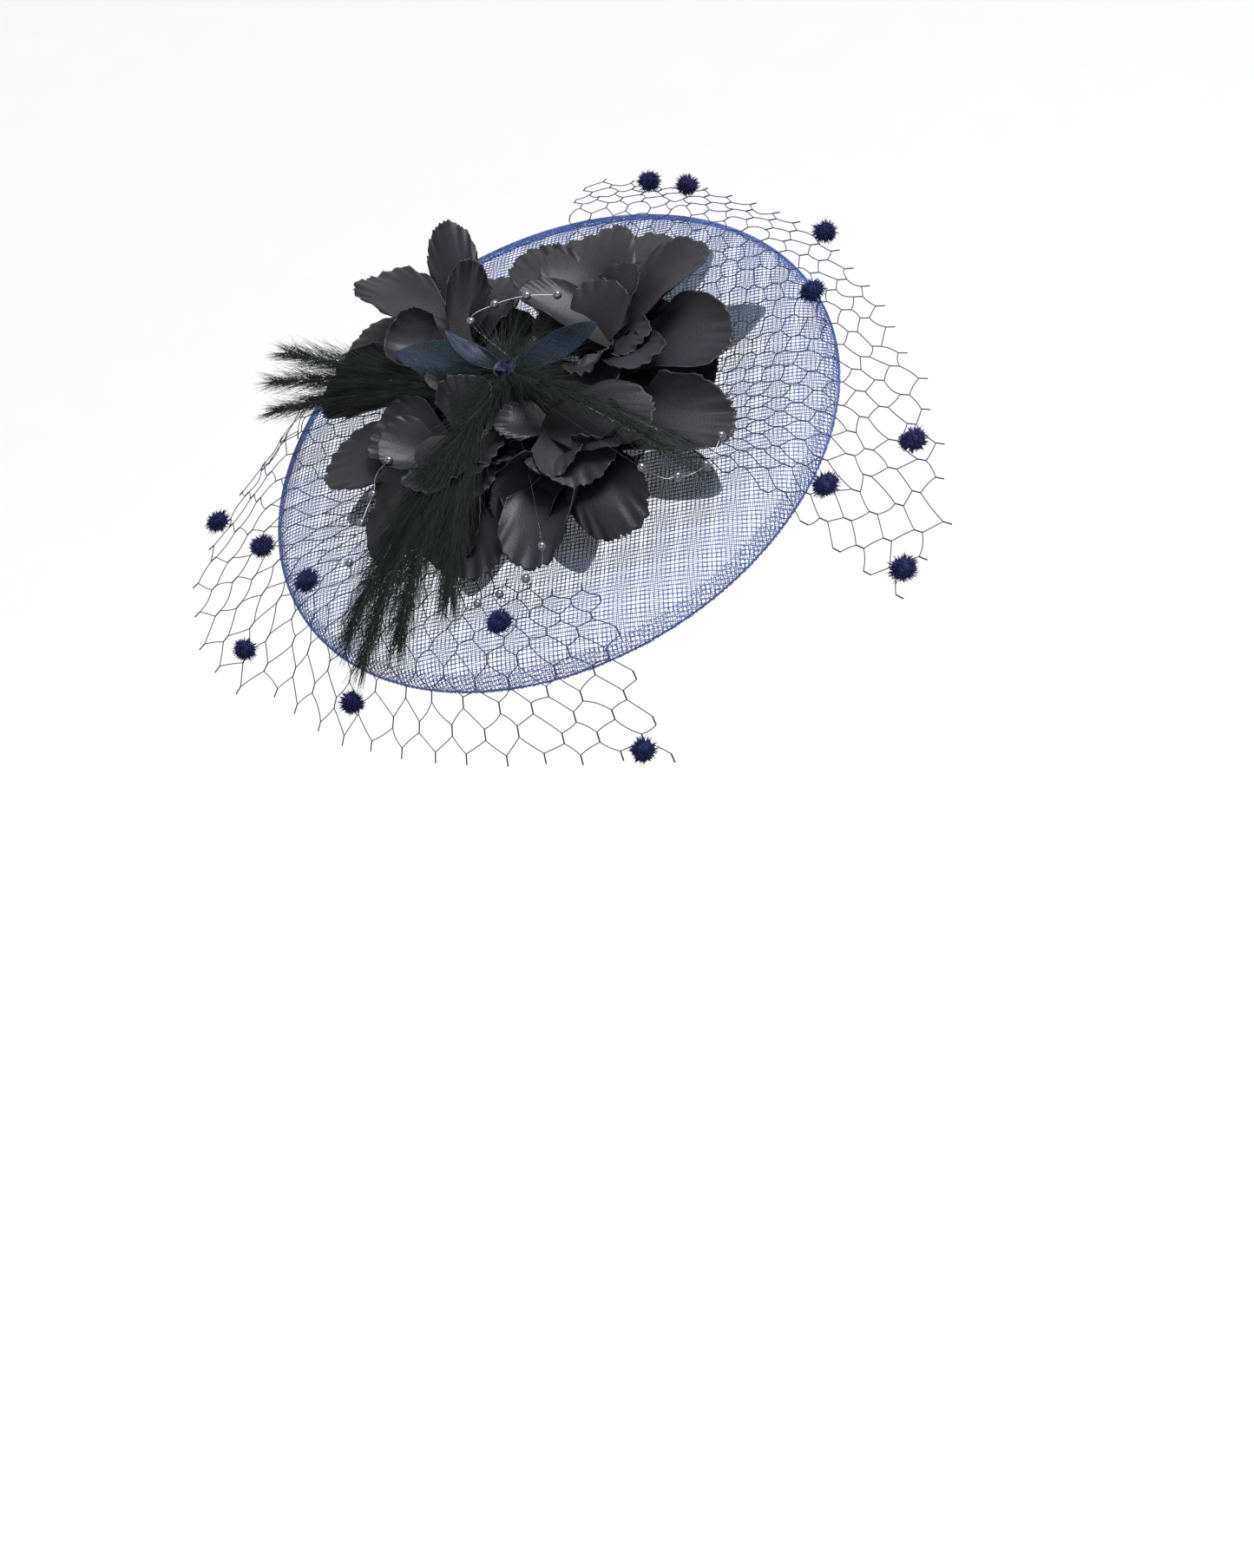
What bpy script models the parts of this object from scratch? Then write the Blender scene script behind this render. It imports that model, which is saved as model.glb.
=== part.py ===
"""A hatinator: a round mesh brim that carries four dark blooms, organza leaves, feathers,
beaded sprays and two fans of dotted veil net, with a plain comb under the brim.

Metres, +Z up, -Y towards the wearer's front, -X towards the wearer's right.
The origin is the middle of the brim's underside, where the comb is sewn on and the head sits.
Azimuths are in degrees: 0 is the wearer's front, and they grow towards the wearer's left.
"""

import math
from collections import namedtuple

import bmesh
import bpy
from mathutils import Matrix, Vector

# Driving dimensions of the brim
BRIM_RADIUS = 0.125
BRIM_WALL = 0.0012
BRIM_DROP = 0.010
BRIM_SHOULDER = 0.026
BRIM_HEM = 0.0035
BRIM_SIDES = 44

# Clearance between pieces that touch
GAP = 0.0003

# Comb
COMB_WIDTH = 0.064
COMB_SPINE = 0.007
COMB_THICKNESS = 0.0026
COMB_TOOTH_LENGTH = 0.034
COMB_TOOTH_WIDTH = 0.0022
COMB_TEETH = 11
COMB_TOOTH_DIP = math.radians(9.0)
COMB_BACKSET = 0.018

# Organza underlay: a disc on the brim with leaves that rise from it
UNDERLAY_RADIUS = 0.056
UNDERLAY_WALL = 0.001
ORGANZA_WALL = 0.001
ORGANZA_WIDTH = 0.030

# Organza heart: a post between the blooms with leaves on top
HEART_RADIUS = 0.005
HEART_HEIGHT = 0.034

# Blooms: each is a calyx with satin petals fused to it
CALYX_RADIUS = 0.014
CALYX_HEIGHT = 0.022
CALYX_SIDES = 12
PETAL_WALL = 0.001
PETAL_WIDTH = 0.038
FLOWER_REACH = 0.100
FLOWER_HEIGHT = 0.050

# Feathers and beaded sprays
LOCK_WIDTH = 0.0070
LOCK_THICKNESS = 0.0016
QUILL_RADIUS = 0.0011
BEAD_RADIUS = 0.0018
STEM_RADIUS = 0.0004

# Veil: two fans of coarse net with chenille dots
VEIL_REACH = 0.190
VEIL_STRAND = 0.0010
VEIL_ARCH = 0.0055
VEIL_CREST_SETBACK = 0.013
VEIL_TURN_SETBACK = 0.007
FRONT_DROP = 0.020
BACK_DROP = 0.008
VEIL_COLUMNS = 11
VEIL_ROWS = 6
DOT_RADIUS = 0.0046
DOT_HEIGHT = 0.0060

BRIM_TOP = BRIM_WALL
UNDERLAY_BOTTOM = BRIM_TOP + GAP
UNDERLAY_TOP = UNDERLAY_BOTTOM + UNDERLAY_WALL
CALYX_BOTTOM = UNDERLAY_TOP + GAP
CALYX_TOP = CALYX_BOTTOM + CALYX_HEIGHT
HEART_BOTTOM = UNDERLAY_TOP + GAP

# Shape of a petal from its claw to its tip: share of the length, share of the half width
Outline = namedtuple("Outline", "along half_width")
SATIN_OUTLINE = [
    Outline(0.00, 0.26),
    Outline(0.24, 0.52),
    Outline(0.50, 0.88),
    Outline(0.74, 1.00),
    Outline(0.91, 0.78),
    Outline(1.00, 0.38),
]
ORGANZA_OUTLINE = [
    Outline(0.00, 0.40),
    Outline(0.40, 0.90),
    Outline(0.75, 0.84),
    Outline(1.00, 0.16),
]
SATIN_COLUMNS = (-1.0, -0.5, 0.0, 0.5, 1.0)
ORGANZA_COLUMNS = (-1.0, 0.0, 1.0)

# A petal's tip: azimuth, share of the flower's reach, share of its height. Then where its claw
# sits: share of the calyx radius towards the tip, share of the calyx height. Then its width as
# a share, how much it cups across and arches along, and its roll in degrees.
Petal = namedtuple("Petal", "azimuth reach height claw rise width cup arch roll")
BACK_PETALS = [
    Petal(153, 0.93, 0.90, 0.30, 0.90, 0.62, 0.16, -0.10, -10),
    Petal(148, 0.62, 0.86, 0.00, 0.95, 0.46, 0.20, -0.08, 34),
    Petal(176, 1.08, 0.62, 0.30, 0.85, 0.74, 0.22, 0.12, 20),
    Petal(-168, 1.02, 0.40, 0.40, 0.60, 0.94, 0.20, 0.06, -4),
    Petal(-150, 0.97, 0.30, 0.40, 0.46, 0.90, 0.14, 0.08, 0),
    Petal(-174, 0.66, 0.64, -0.30, 0.92, 0.70, 0.18, -0.05, -8),
]
RIGHT_PETALS = [
    Petal(129, 0.66, 0.66, 0.10, 0.90, 0.80, 0.24, 0.06, 6),
    Petal(108, 0.78, 0.66, 0.20, 0.85, 1.06, 0.26, 0.08, 0),
    Petal(98, 0.96, 0.30, 0.50, 0.45, 0.80, 0.14, 0.10, 0),
    Petal(70, 0.95, 0.62, 0.30, 0.82, 0.98, 0.16, 0.06, -14),
    Petal(41, 0.93, 0.38, 0.40, 0.52, 0.98, 0.14, 0.12, 4),
    Petal(78, 0.54, 0.80, -0.50, 0.96, 0.66, 0.20, -0.04, 10),
    Petal(28, 0.66, 0.66, 0.10, 0.90, 0.66, 0.18, 0.04, -12),
    Petal(120, 0.36, 0.86, -0.70, 0.97, 0.60, 0.20, 0.04, 16),
]
FRONT_PETALS = [
    Petal(16, 1.04, 0.32, 0.40, 0.66, 0.96, 0.14, 0.10, -4),
    Petal(8, 0.76, 0.62, -1.00, 0.96, 0.90, 0.16, 0.06, 0),
    Petal(-17, 0.74, 0.52, -1.00, 0.88, 0.90, 0.16, 0.06, 0),
    Petal(-16, 0.94, 0.26, 0.40, 0.50, 0.84, 0.14, 0.12, 4),
    Petal(-42, 0.91, 0.22, 0.50, 0.40, 0.90, 0.14, 0.12, 0),
]
LEFT_PETALS = [
    Petal(-131, 0.90, 0.27, 0.40, 0.50, 0.90, 0.14, 0.12, 0),
    Petal(-102, 0.75, 0.36, -0.60, 0.90, 0.86, 0.16, 0.12, -8),
    Petal(-92, 0.90, 0.22, 0.50, 0.40, 0.80, 0.12, 0.10, 0),
    Petal(-66, 0.82, 0.22, 0.50, 0.42, 0.84, 0.12, 0.10, 0),
    Petal(-60, 0.56, 0.50, 0.00, 0.90, 0.66, 0.14, 0.06, 0),
]
Bloom = namedtuple("Bloom", "name azimuth reach petals")
BLOOMS = [
    Bloom("bloom_back", 178, 0.39, BACK_PETALS),
    Bloom("bloom_right", 66, 0.38, RIGHT_PETALS),
    Bloom("bloom_front", -6, 0.37, FRONT_PETALS),
    Bloom("bloom_left", -90, 0.36, LEFT_PETALS),
]

# Organza leaves: azimuth of the tip, shares of the flower's reach and height, width share
Leaf = namedtuple("Leaf", "azimuth reach height width cup roll")
UNDERLAY_LEAVES = [
    Leaf(-170, 1.08, 0.20, 1.00, 0.08, 0),
    Leaf(-112, 0.88, 0.15, 0.86, 0.08, 0),
    Leaf(-60, 0.92, 0.15, 0.80, 0.08, 0),
    Leaf(-30, 0.94, 0.15, 0.80, 0.08, 0),
    Leaf(4, 1.06, 0.15, 0.96, 0.08, 0),
    Leaf(56, 1.04, 0.20, 1.00, 0.08, 0),
    Leaf(84, 1.02, 0.15, 0.80, 0.08, 0),
    Leaf(126, 0.90, 0.20, 0.96, 0.08, 0),
]
HEART_LEAVES = [
    Leaf(-160, 0.54, 0.76, 0.66, 0.22, -34),
    Leaf(-176, 0.30, 0.90, 0.40, 0.24, 30),
    Leaf(46, 0.43, 0.88, 0.42, 0.20, 40),
]

# A place in the flowers: azimuth, shares of the flower's reach and height
Station = namedtuple("Station", "azimuth reach height")
# Where a stem is bound to the heart: azimuth and share of the heart's height
Foot = namedtuple("Foot", "azimuth height")

# A feather is a quill that leaves the heart, with flat locks that fan out from it
Feather = namedtuple("Feather", "name foot joint crest locks")
FEATHERS = [
    Feather(
        "feather_left",
        Foot(-140, 0.78),
        Station(-142, 0.30, 0.60),
        0.64,
        [Station(-162, 1.22, 0.54), Station(-156, 1.24, 0.46), Station(-149, 1.18, 0.42)],
    ),
    Feather(
        "feather_front",
        Foot(-80, 0.84),
        Station(-76, 0.30, 0.72),
        0.66,
        [
            Station(-84, 1.22, 0.14),
            Station(-78, 1.30, 0.10),
            Station(-72, 1.18, 0.16),
            Station(-62, 0.98, 0.30),
        ],
    ),
    Feather(
        "feather_right",
        Foot(-4, 0.97),
        Station(-2, 0.26, 0.82),
        0.84,
        [Station(1, 1.12, 0.60), Station(5, 1.02, 0.66)],
    ),
]

# Beaded sprays: a stem from its foot through these places, with a bead at each
Spray = namedtuple("Spray", "name foot stations")
SPRAYS = [
    Spray(
        "bead_spray_top",
        Foot(112, 0.98),
        [
            Station(164, 0.22, 0.92),
            Station(135, 0.24, 0.94),
            Station(100, 0.26, 0.98),
            Station(78, 0.33, 0.96),
        ],
    ),
    Spray(
        "bead_spray_left",
        Foot(-110, 0.78),
        [
            Station(-103, 0.59, 0.66),
            Station(-102, 0.72, 0.50),
            Station(-98, 0.83, 0.44),
            Station(-96, 0.97, 0.26),
        ],
    ),
    Spray(
        "bead_spray_front",
        Foot(-40, 0.89),
        [
            Station(-36, 0.90, 0.50),
            Station(-43, 0.94, 0.30),
            Station(-50, 0.97, 0.26),
            Station(-56, 0.98, 0.21),
        ],
    ),
    Spray(
        "bead_spray_right",
        Foot(-32, 0.98),
        [
            Station(-6, 0.92, 0.69),
            Station(-2, 1.03, 0.58),
            Station(4, 1.06, 0.50),
            Station(11, 1.05, 0.54),
        ],
    ),
]

# Edges of each veil fan at an azimuth: the inner one as a share of the veil's reach, the outer
# one as a share of the way from the rim to the veil's reach
Edge = namedtuple("Edge", "azimuth inner outer")
FRONT_EDGE = [
    Edge(-28, 0.53, 0.766),
    Edge(-36, 0.51, 0.562),
    Edge(-50, 0.44, 0.415),
    Edge(-65, 0.36, 0.386),
    Edge(-83, 0.33, 0.415),
    Edge(-97, 0.33, 0.415),
    Edge(-106, 0.33, 0.620),
    Edge(-116, 0.33, 0.708),
    Edge(-128, 0.33, 0.708),
    Edge(-142, 0.33, 0.474),
    Edge(-160, 0.33, 0.123),
]
BACK_EDGE = [
    Edge(3, 0.50, 1.00),
    Edge(13, 0.40, 1.00),
    Edge(20, 0.36, 0.795),
    Edge(34, 0.34, 0.562),
    Edge(46, 0.33, 0.357),
    Edge(67, 0.33, 0.240),
    Edge(90, 0.33, 0.182),
    Edge(110, 0.33, 0.211),
    Edge(128, 0.33, 0.328),
]
# A chenille dot: azimuth, and share of the veil's reach
Dot = namedtuple("Dot", "azimuth reach")
FRONT_DOTS = [
    Dot(-31, 0.88),
    Dot(-50, 0.57),
    Dot(-79, 0.73),
    Dot(-102, 0.60),
    Dot(-106, 0.79),
    Dot(-119, 0.65),
    Dot(-138, 0.83),
]
BACK_DOTS = [
    Dot(6, 0.98),
    Dot(13, 0.74),
    Dot(24, 0.86),
    Dot(56, 0.64),
    Dot(73, 0.735),
    Dot(104, 0.68),
    Dot(113, 0.69),
]
Fan = namedtuple("Fan", "name drop edge dots")
FANS = [
    Fan("veil_front", FRONT_DROP, FRONT_EDGE, FRONT_DOTS),
    Fan("veil_back", BACK_DROP, BACK_EDGE, BACK_DOTS),
]

# Plain materials: colour, roughness, metallic
Finish = namedtuple("Finish", "name colour roughness metallic")
CRIN = Finish("navy_crin", (0.030, 0.075, 0.300, 1.0), 0.35, 0.0)
SATIN = Finish("black_satin", (0.022, 0.021, 0.025, 1.0), 0.45, 0.0)
ORGANZA = Finish("navy_organza", (0.020, 0.050, 0.110, 1.0), 0.30, 0.0)
PLUME = Finish("black_feather", (0.010, 0.011, 0.010, 1.0), 0.60, 0.0)
PEARL = Finish("gunmetal_pearl", (0.130, 0.130, 0.170, 1.0), 0.15, 0.3)
NETTING = Finish("navy_net", (0.010, 0.018, 0.045, 1.0), 0.50, 0.0)
CHENILLE = Finish("navy_chenille", (0.012, 0.014, 0.060, 1.0), 0.90, 0.0)
COMB_PLASTIC = Finish("black_comb", (0.010, 0.010, 0.012, 1.0), 0.30, 0.0)


def clear_scene():
    for old in list(bpy.data.objects):
        bpy.data.objects.remove(old, do_unlink=True)


def new_collection(name, shown=True):
    made = bpy.data.collections.new(name)
    bpy.context.scene.collection.children.link(made)
    made.hide_render = not shown
    return made


def make_material(finish):
    material = bpy.data.materials.new(finish.name)
    material.use_nodes = True
    shader = material.node_tree.nodes["Principled BSDF"]
    shader.inputs["Base Color"].default_value = finish.colour
    shader.inputs["Roughness"].default_value = finish.roughness
    shader.inputs["Metallic"].default_value = finish.metallic
    return material


def spot(azimuth, radius, height):
    """A point given by its azimuth in degrees, its distance from the middle and its height."""
    angle = math.radians(azimuth)
    return Vector((radius * math.sin(angle), -radius * math.cos(angle), height))


def flower_spot(azimuth, reach, height):
    """A point given in shares of the flower's reach and height, above the brim."""
    return spot(azimuth, reach * FLOWER_REACH, BRIM_TOP + height * FLOWER_HEIGHT)


def bound_to_heart(foot, clearance):
    """The first point of a stem that is bound to the heart's post."""
    height = HEART_BOTTOM + foot.height * HEART_HEIGHT
    return spot(foot.azimuth, HEART_RADIUS + clearance, height)


def object_from(mesh, name, collection, material=None):
    obj = bpy.data.objects.new(name, mesh)
    collection.objects.link(obj)
    if material is not None:
        mesh.materials.append(material)
    return obj


def solid_mesh(helper, name):
    """The helper's evaluated shape as a welded mesh. The helper is removed."""
    graph = bpy.context.evaluated_depsgraph_get()
    mesh = bpy.data.meshes.new_from_object(helper.evaluated_get(graph))
    mesh.name = name
    mesh.transform(helper.matrix_world)
    bpy.data.objects.remove(helper, do_unlink=True)
    work = bmesh.new()
    work.from_mesh(mesh)
    bmesh.ops.remove_doubles(work, verts=work.verts, dist=0.00001)
    bmesh.ops.recalc_face_normals(work, faces=work.faces)
    work.to_mesh(mesh)
    work.free()
    return mesh


def fuse(name, first, others, shown, hidden, material):
    """One solid from a first body and the others, which a Boolean joins to it."""
    group = bpy.data.collections.new(name + "_bodies")
    hidden.children.link(group)
    for index, mesh in enumerate(others):
        body = object_from(mesh, f"{name}_body_{index}", group)
        body.hide_render = True
        body.display_type = "WIRE"
    whole = object_from(first, name, shown, material)
    union = whole.modifiers.new("join", "BOOLEAN")
    union.operation = "UNION"
    union.operand_type = "COLLECTION"
    union.collection = group
    union.solver = "EXACT"
    union.use_self = True
    return whole


def drum(radius_low, radius_high, bottom, top, sides, centre):
    """A closed cylinder or cone between two heights."""
    work = bmesh.new()
    bmesh.ops.create_cone(
        work,
        cap_ends=True,
        segments=sides,
        radius1=radius_low,
        radius2=radius_high,
        depth=top - bottom,
        matrix=Matrix.Translation((centre.x, centre.y, (top + bottom) / 2)),
    )
    mesh = bpy.data.meshes.new("drum")
    work.to_mesh(mesh)
    work.free()
    return mesh


def petal_sheet(base, tip, width, cup, arch, roll, outline, columns):
    """The open middle surface of a petal, cupped across and arched along."""
    along = (tip - base).normalized()
    side = along.cross(Vector((0, 0, 1))).normalized()
    side = Matrix.Rotation(math.radians(roll), 3, along) @ side
    face = side.cross(along)
    length = (tip - base).length
    work = bmesh.new()
    rows = []
    for step in outline:
        half = width / 2 * step.half_width
        bow = arch * length * math.sin(math.pi * step.along)
        centre = base + along * (length * step.along) + face * bow
        row = []
        for across in columns:
            lift = cup * half * across * across
            row.append(work.verts.new(centre + side * (half * across) + face * lift))
        rows.append(row)
    for low, high in zip(rows, rows[1:]):
        for left in range(len(columns) - 1):
            work.faces.new((low[left], low[left + 1], high[left + 1], high[left]))
    mesh = bpy.data.meshes.new("petal")
    work.to_mesh(mesh)
    work.free()
    return mesh


def sheet_solid(mesh, wall, hidden):
    """An open sheet given an even wall on both sides of it."""
    helper = object_from(mesh, "sheet", hidden)
    thicken = helper.modifiers.new("wall", "SOLIDIFY")
    thicken.thickness = wall
    thicken.offset = 0.0
    return solid_mesh(helper, "sheet")


def tube_solid(points, radii, bevel, hidden):
    """A closed tube through the points, with its own radius at each."""
    data = bpy.data.curves.new("tube", "CURVE")
    data.dimensions = "3D"
    data.bevel_depth = 1.0
    data.bevel_resolution = bevel
    data.use_fill_caps = True
    spline = data.splines.new("POLY")
    spline.points.add(len(points) - 1)
    for place, point, radius in zip(spline.points, points, radii):
        place.co = (*point, 1.0)
        place.radius = radius
    helper = object_from(data, "tube", hidden)
    bpy.context.view_layer.update()
    return solid_mesh(helper, "tube")


def lock_solid(points, shares):
    """A flat tapered lock: a closed strip with a lens section, widest where its share is 1."""
    work = bmesh.new()
    rings = []
    for index, (point, share) in enumerate(zip(points, shares)):
        ahead = points[min(index + 1, len(points) - 1)]
        behind = points[max(index - 1, 0)]
        along = (ahead - behind).normalized()
        side = along.cross(Vector((0, 0, 1))).normalized()
        face = side.cross(along)
        half = LOCK_WIDTH / 2 * share
        thick = LOCK_THICKNESS / 2 * min(1.0, share * 2)
        corners = (side * half, face * thick, side * -half, face * -thick)
        rings.append([work.verts.new(point + corner) for corner in corners])
    for low, high in zip(rings, rings[1:]):
        for corner in range(4):
            after = (corner + 1) % 4
            work.faces.new((low[corner], low[after], high[after], high[corner]))
    work.faces.new(rings[0])
    work.faces.new(rings[-1])
    bmesh.ops.recalc_face_normals(work, faces=work.faces)
    mesh = bpy.data.meshes.new("lock")
    work.to_mesh(mesh)
    work.free()
    return mesh


def ball(radius_across, radius_up, sides, bands):
    """A closed ball, flattened when its two radii differ."""
    work = bmesh.new()
    bmesh.ops.create_uvsphere(work, u_segments=sides, v_segments=bands, radius=1.0)
    mesh = bpy.data.meshes.new("ball")
    work.to_mesh(mesh)
    work.free()
    mesh.transform(Matrix.Diagonal((radius_across, radius_across, radius_up, 1)))
    return mesh


def bowed_line(start, crest, finish, steps):
    """Points on a smooth arc from start to finish that is pulled towards crest."""
    points = []
    for step in range(steps + 1):
        t = step / steps
        points.append(start * (1 - t) ** 2 + crest * (2 * t * (1 - t)) + finish * t**2)
    return points


def smooth_line(places, steps):
    """Points on a smooth line through all the places, with some steps from each to the next."""
    points = [places[0]]
    last = len(places) - 1
    for index in range(last):
        before = places[max(index - 1, 0)]
        here, there = places[index], places[index + 1]
        beyond = places[min(index + 2, last)]
        for step in range(1, steps + 1):
            t = step / steps
            pull = (there - before) * (t - 2 * t**2 + t**3) + (beyond - here) * (t**3 - t**2)
            blend = t * t * (3 - 2 * t)
            points.append(here * (1 - blend) + there * blend + pull * 0.5)
    return points


def brim_top_height(radius):
    """Height of the brim's upper face: flat in the middle, turned down at the shoulder."""
    inner = BRIM_RADIUS - BRIM_SHOULDER
    share = min(1.0, max(0.0, (radius - inner) / BRIM_SHOULDER))
    return BRIM_TOP - BRIM_DROP * (1 - math.sqrt(1 - share**2.2))


def make_brim(shown, material):
    """A turned shell: a flat disc, a shoulder that turns down and a narrow hem turned under."""
    inner = BRIM_RADIUS - BRIM_SHOULDER
    profile = [(inner, BRIM_TOP)]
    for share in (0.38, 0.64, 0.84, 0.95):
        radius = inner + BRIM_SHOULDER * share
        profile.append((radius, brim_top_height(radius)))
    edge = brim_top_height(BRIM_RADIUS)
    profile.append((BRIM_RADIUS, edge))
    profile.append((BRIM_RADIUS - BRIM_HEM, edge - BRIM_WALL))
    work = bmesh.new()
    rings = []
    middle = work.verts.new((0, 0, BRIM_TOP))
    for radius, height in profile:
        turns = (360 * side / BRIM_SIDES for side in range(BRIM_SIDES))
        rings.append([work.verts.new(spot(turn, radius, height)) for turn in turns])
    for side in range(BRIM_SIDES):
        after = (side + 1) % BRIM_SIDES
        work.faces.new((middle, rings[0][side], rings[0][after]))
        for low, high in zip(rings, rings[1:]):
            work.faces.new((low[side], high[side], high[after], low[after]))
    bmesh.ops.recalc_face_normals(work, faces=work.faces)
    mesh = bpy.data.meshes.new("brim")
    work.to_mesh(mesh)
    work.free()
    brim = object_from(mesh, "brim", shown, material)
    wall = brim.modifiers.new("wall", "SOLIDIFY")
    wall.thickness = BRIM_WALL
    wall.offset = -1.0
    return brim


def make_comb(shown, hidden, material):
    """A plain comb: a flat spine under the brim and straight teeth that dip away from it."""
    middle = Vector((0, -COMB_BACKSET, -GAP - COMB_THICKNESS / 2))
    work = bmesh.new()
    size = Matrix.Diagonal((COMB_WIDTH, COMB_SPINE, COMB_THICKNESS, 1))
    bmesh.ops.create_cube(work, size=1.0, matrix=Matrix.Translation(middle) @ size)
    spine = bpy.data.meshes.new("comb")
    work.to_mesh(spine)
    work.free()
    teeth = []
    pitch = (COMB_WIDTH - COMB_TOOTH_WIDTH) / (COMB_TEETH - 1)
    reach = Vector((0, math.cos(COMB_TOOTH_DIP), -math.sin(COMB_TOOTH_DIP)))
    thick = COMB_TOOTH_WIDTH / 2
    for tooth in range(COMB_TEETH):
        start = middle + Vector(((tooth - (COMB_TEETH - 1) / 2) * pitch, 0, 0))
        finish = start + reach * (COMB_SPINE / 2 + COMB_TOOTH_LENGTH)
        points = (start, start.lerp(finish, 0.7), finish)
        teeth.append(tube_solid(points, (thick, thick, thick * 0.5), 1, hidden))
    return fuse("comb", spine, teeth, shown, hidden, material)


def make_bloom(bloom, shown, hidden, material):
    """A calyx with its satin petals fused to it."""
    centre = spot(bloom.azimuth, bloom.reach * FLOWER_REACH, 0)
    calyx = drum(CALYX_RADIUS, CALYX_RADIUS * 0.6, CALYX_BOTTOM, CALYX_TOP, CALYX_SIDES, centre)
    petals = []
    for petal in bloom.petals:
        tip = flower_spot(petal.azimuth, petal.reach, petal.height)
        outward = Vector((tip.x - centre.x, tip.y - centre.y, 0)).normalized()
        claw = centre + outward * (CALYX_RADIUS * petal.claw)
        claw.z = CALYX_BOTTOM + CALYX_HEIGHT * petal.rise
        sheet = petal_sheet(
            claw,
            tip,
            PETAL_WIDTH * petal.width,
            petal.cup,
            petal.arch,
            petal.roll,
            SATIN_OUTLINE,
            SATIN_COLUMNS,
        )
        petals.append(sheet_solid(sheet, PETAL_WALL, hidden))
    return fuse(bloom.name, calyx, petals, shown, hidden, material)


def organza_leaf(root, leaf, arch, hidden):
    """One organza leaf from its root to its tip."""
    tip = flower_spot(leaf.azimuth, leaf.reach, leaf.height)
    sheet = petal_sheet(
        root,
        tip,
        ORGANZA_WIDTH * leaf.width,
        leaf.cup,
        arch,
        leaf.roll,
        ORGANZA_OUTLINE,
        ORGANZA_COLUMNS,
    )
    return sheet_solid(sheet, ORGANZA_WALL, hidden)


def make_underlay(shown, hidden, material):
    """A disc of organza on the brim, with leaves that rise from its edge."""
    middle = Vector((0, 0, 0))
    disc = drum(UNDERLAY_RADIUS, UNDERLAY_RADIUS, UNDERLAY_BOTTOM, UNDERLAY_TOP, 28, middle)
    leaves = []
    for leaf in UNDERLAY_LEAVES:
        root = spot(leaf.azimuth, UNDERLAY_RADIUS * 0.93, (UNDERLAY_BOTTOM + UNDERLAY_TOP) / 2)
        leaves.append(organza_leaf(root, leaf, 0.0, hidden))
    return fuse("organza_underlay", disc, leaves, shown, hidden, material)


def make_heart(shown, hidden, material):
    """The post between the blooms, with folded organza leaves at its top."""
    top = HEART_BOTTOM + HEART_HEIGHT
    post = drum(HEART_RADIUS, HEART_RADIUS, HEART_BOTTOM, top, 16, Vector((0, 0, 0)))
    root = Vector((0, 0, top - ORGANZA_WALL * 2))
    leaves = [organza_leaf(root, leaf, 0.06, hidden) for leaf in HEART_LEAVES]
    return fuse("organza_heart", post, leaves, shown, hidden, material)


def make_feather(feather, shown, hidden, material):
    """Flat tapered locks that fan out from one quill."""
    start = bound_to_heart(feather.foot, GAP)
    joint = flower_spot(*feather.joint)
    quill = tube_solid([start, joint], [QUILL_RADIUS, QUILL_RADIUS], 0, hidden)
    root = start.lerp(joint, 0.6)
    locks = []
    for lock in feather.locks:
        tip = flower_spot(*lock)
        crest = joint.lerp(tip, 0.45)
        crest.z = BRIM_TOP + feather.crest * FLOWER_HEIGHT
        points = bowed_line(root, crest, tip, 5)
        locks.append(lock_solid(points, (0.35, 0.75, 1.0, 0.9, 0.6, 0.15)))
    return fuse(feather.name, quill, locks, shown, hidden, material)


def make_spray(spray, shown, hidden, material):
    """A nylon stem through its stations, with a bead fused on it at each."""
    places = [flower_spot(*station) for station in spray.stations]
    points = smooth_line([bound_to_heart(spray.foot, GAP + STEM_RADIUS / 2)] + places, 3)
    stem = tube_solid(points, [STEM_RADIUS] * len(points), 0, hidden)
    beads = []
    for place in places:
        bead = ball(BEAD_RADIUS, BEAD_RADIUS, 8, 4)
        bead.transform(Matrix.Translation(place))
        beads.append(bead)
    return fuse(spray.name, stem, beads, shown, hidden, material)


def edge_at(fan, azimuth):
    """Inner and outer radius of a fan at an azimuth, eased between the rows of its table."""
    rows = sorted(fan.edge)
    azimuth = min(max(azimuth, rows[0].azimuth), rows[-1].azimuth)
    for low, high in zip(rows, rows[1:]):
        if azimuth <= high.azimuth:
            break
    share = (azimuth - low.azimuth) / (high.azimuth - low.azimuth)
    eased = share * share * (3 - 2 * share)
    inner = low.inner + (high.inner - low.inner) * eased
    outer = low.outer + (high.outer - low.outer) * eased
    return inner * VEIL_REACH, BRIM_RADIUS + outer * (VEIL_REACH - BRIM_RADIUS)


def veil_point(fan, azimuth, radius):
    """A point of the net's middle surface: low at the flowers, arched over the brim, then dropping."""
    outer = edge_at(fan, azimuth)[1]
    rest = BRIM_TOP + GAP + VEIL_STRAND * 0.75
    crest = BRIM_RADIUS - VEIL_CREST_SETBACK
    turn = BRIM_RADIUS - VEIL_TURN_SETBACK
    across = (radius - crest) / VEIL_CREST_SETBACK / 2
    arch = VEIL_ARCH * math.exp(-across * across)
    beyond = max(0.0, (radius - turn) / (outer - turn))
    return spot(azimuth, radius, rest + arch - fan.drop * beyond**1.2)


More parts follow.
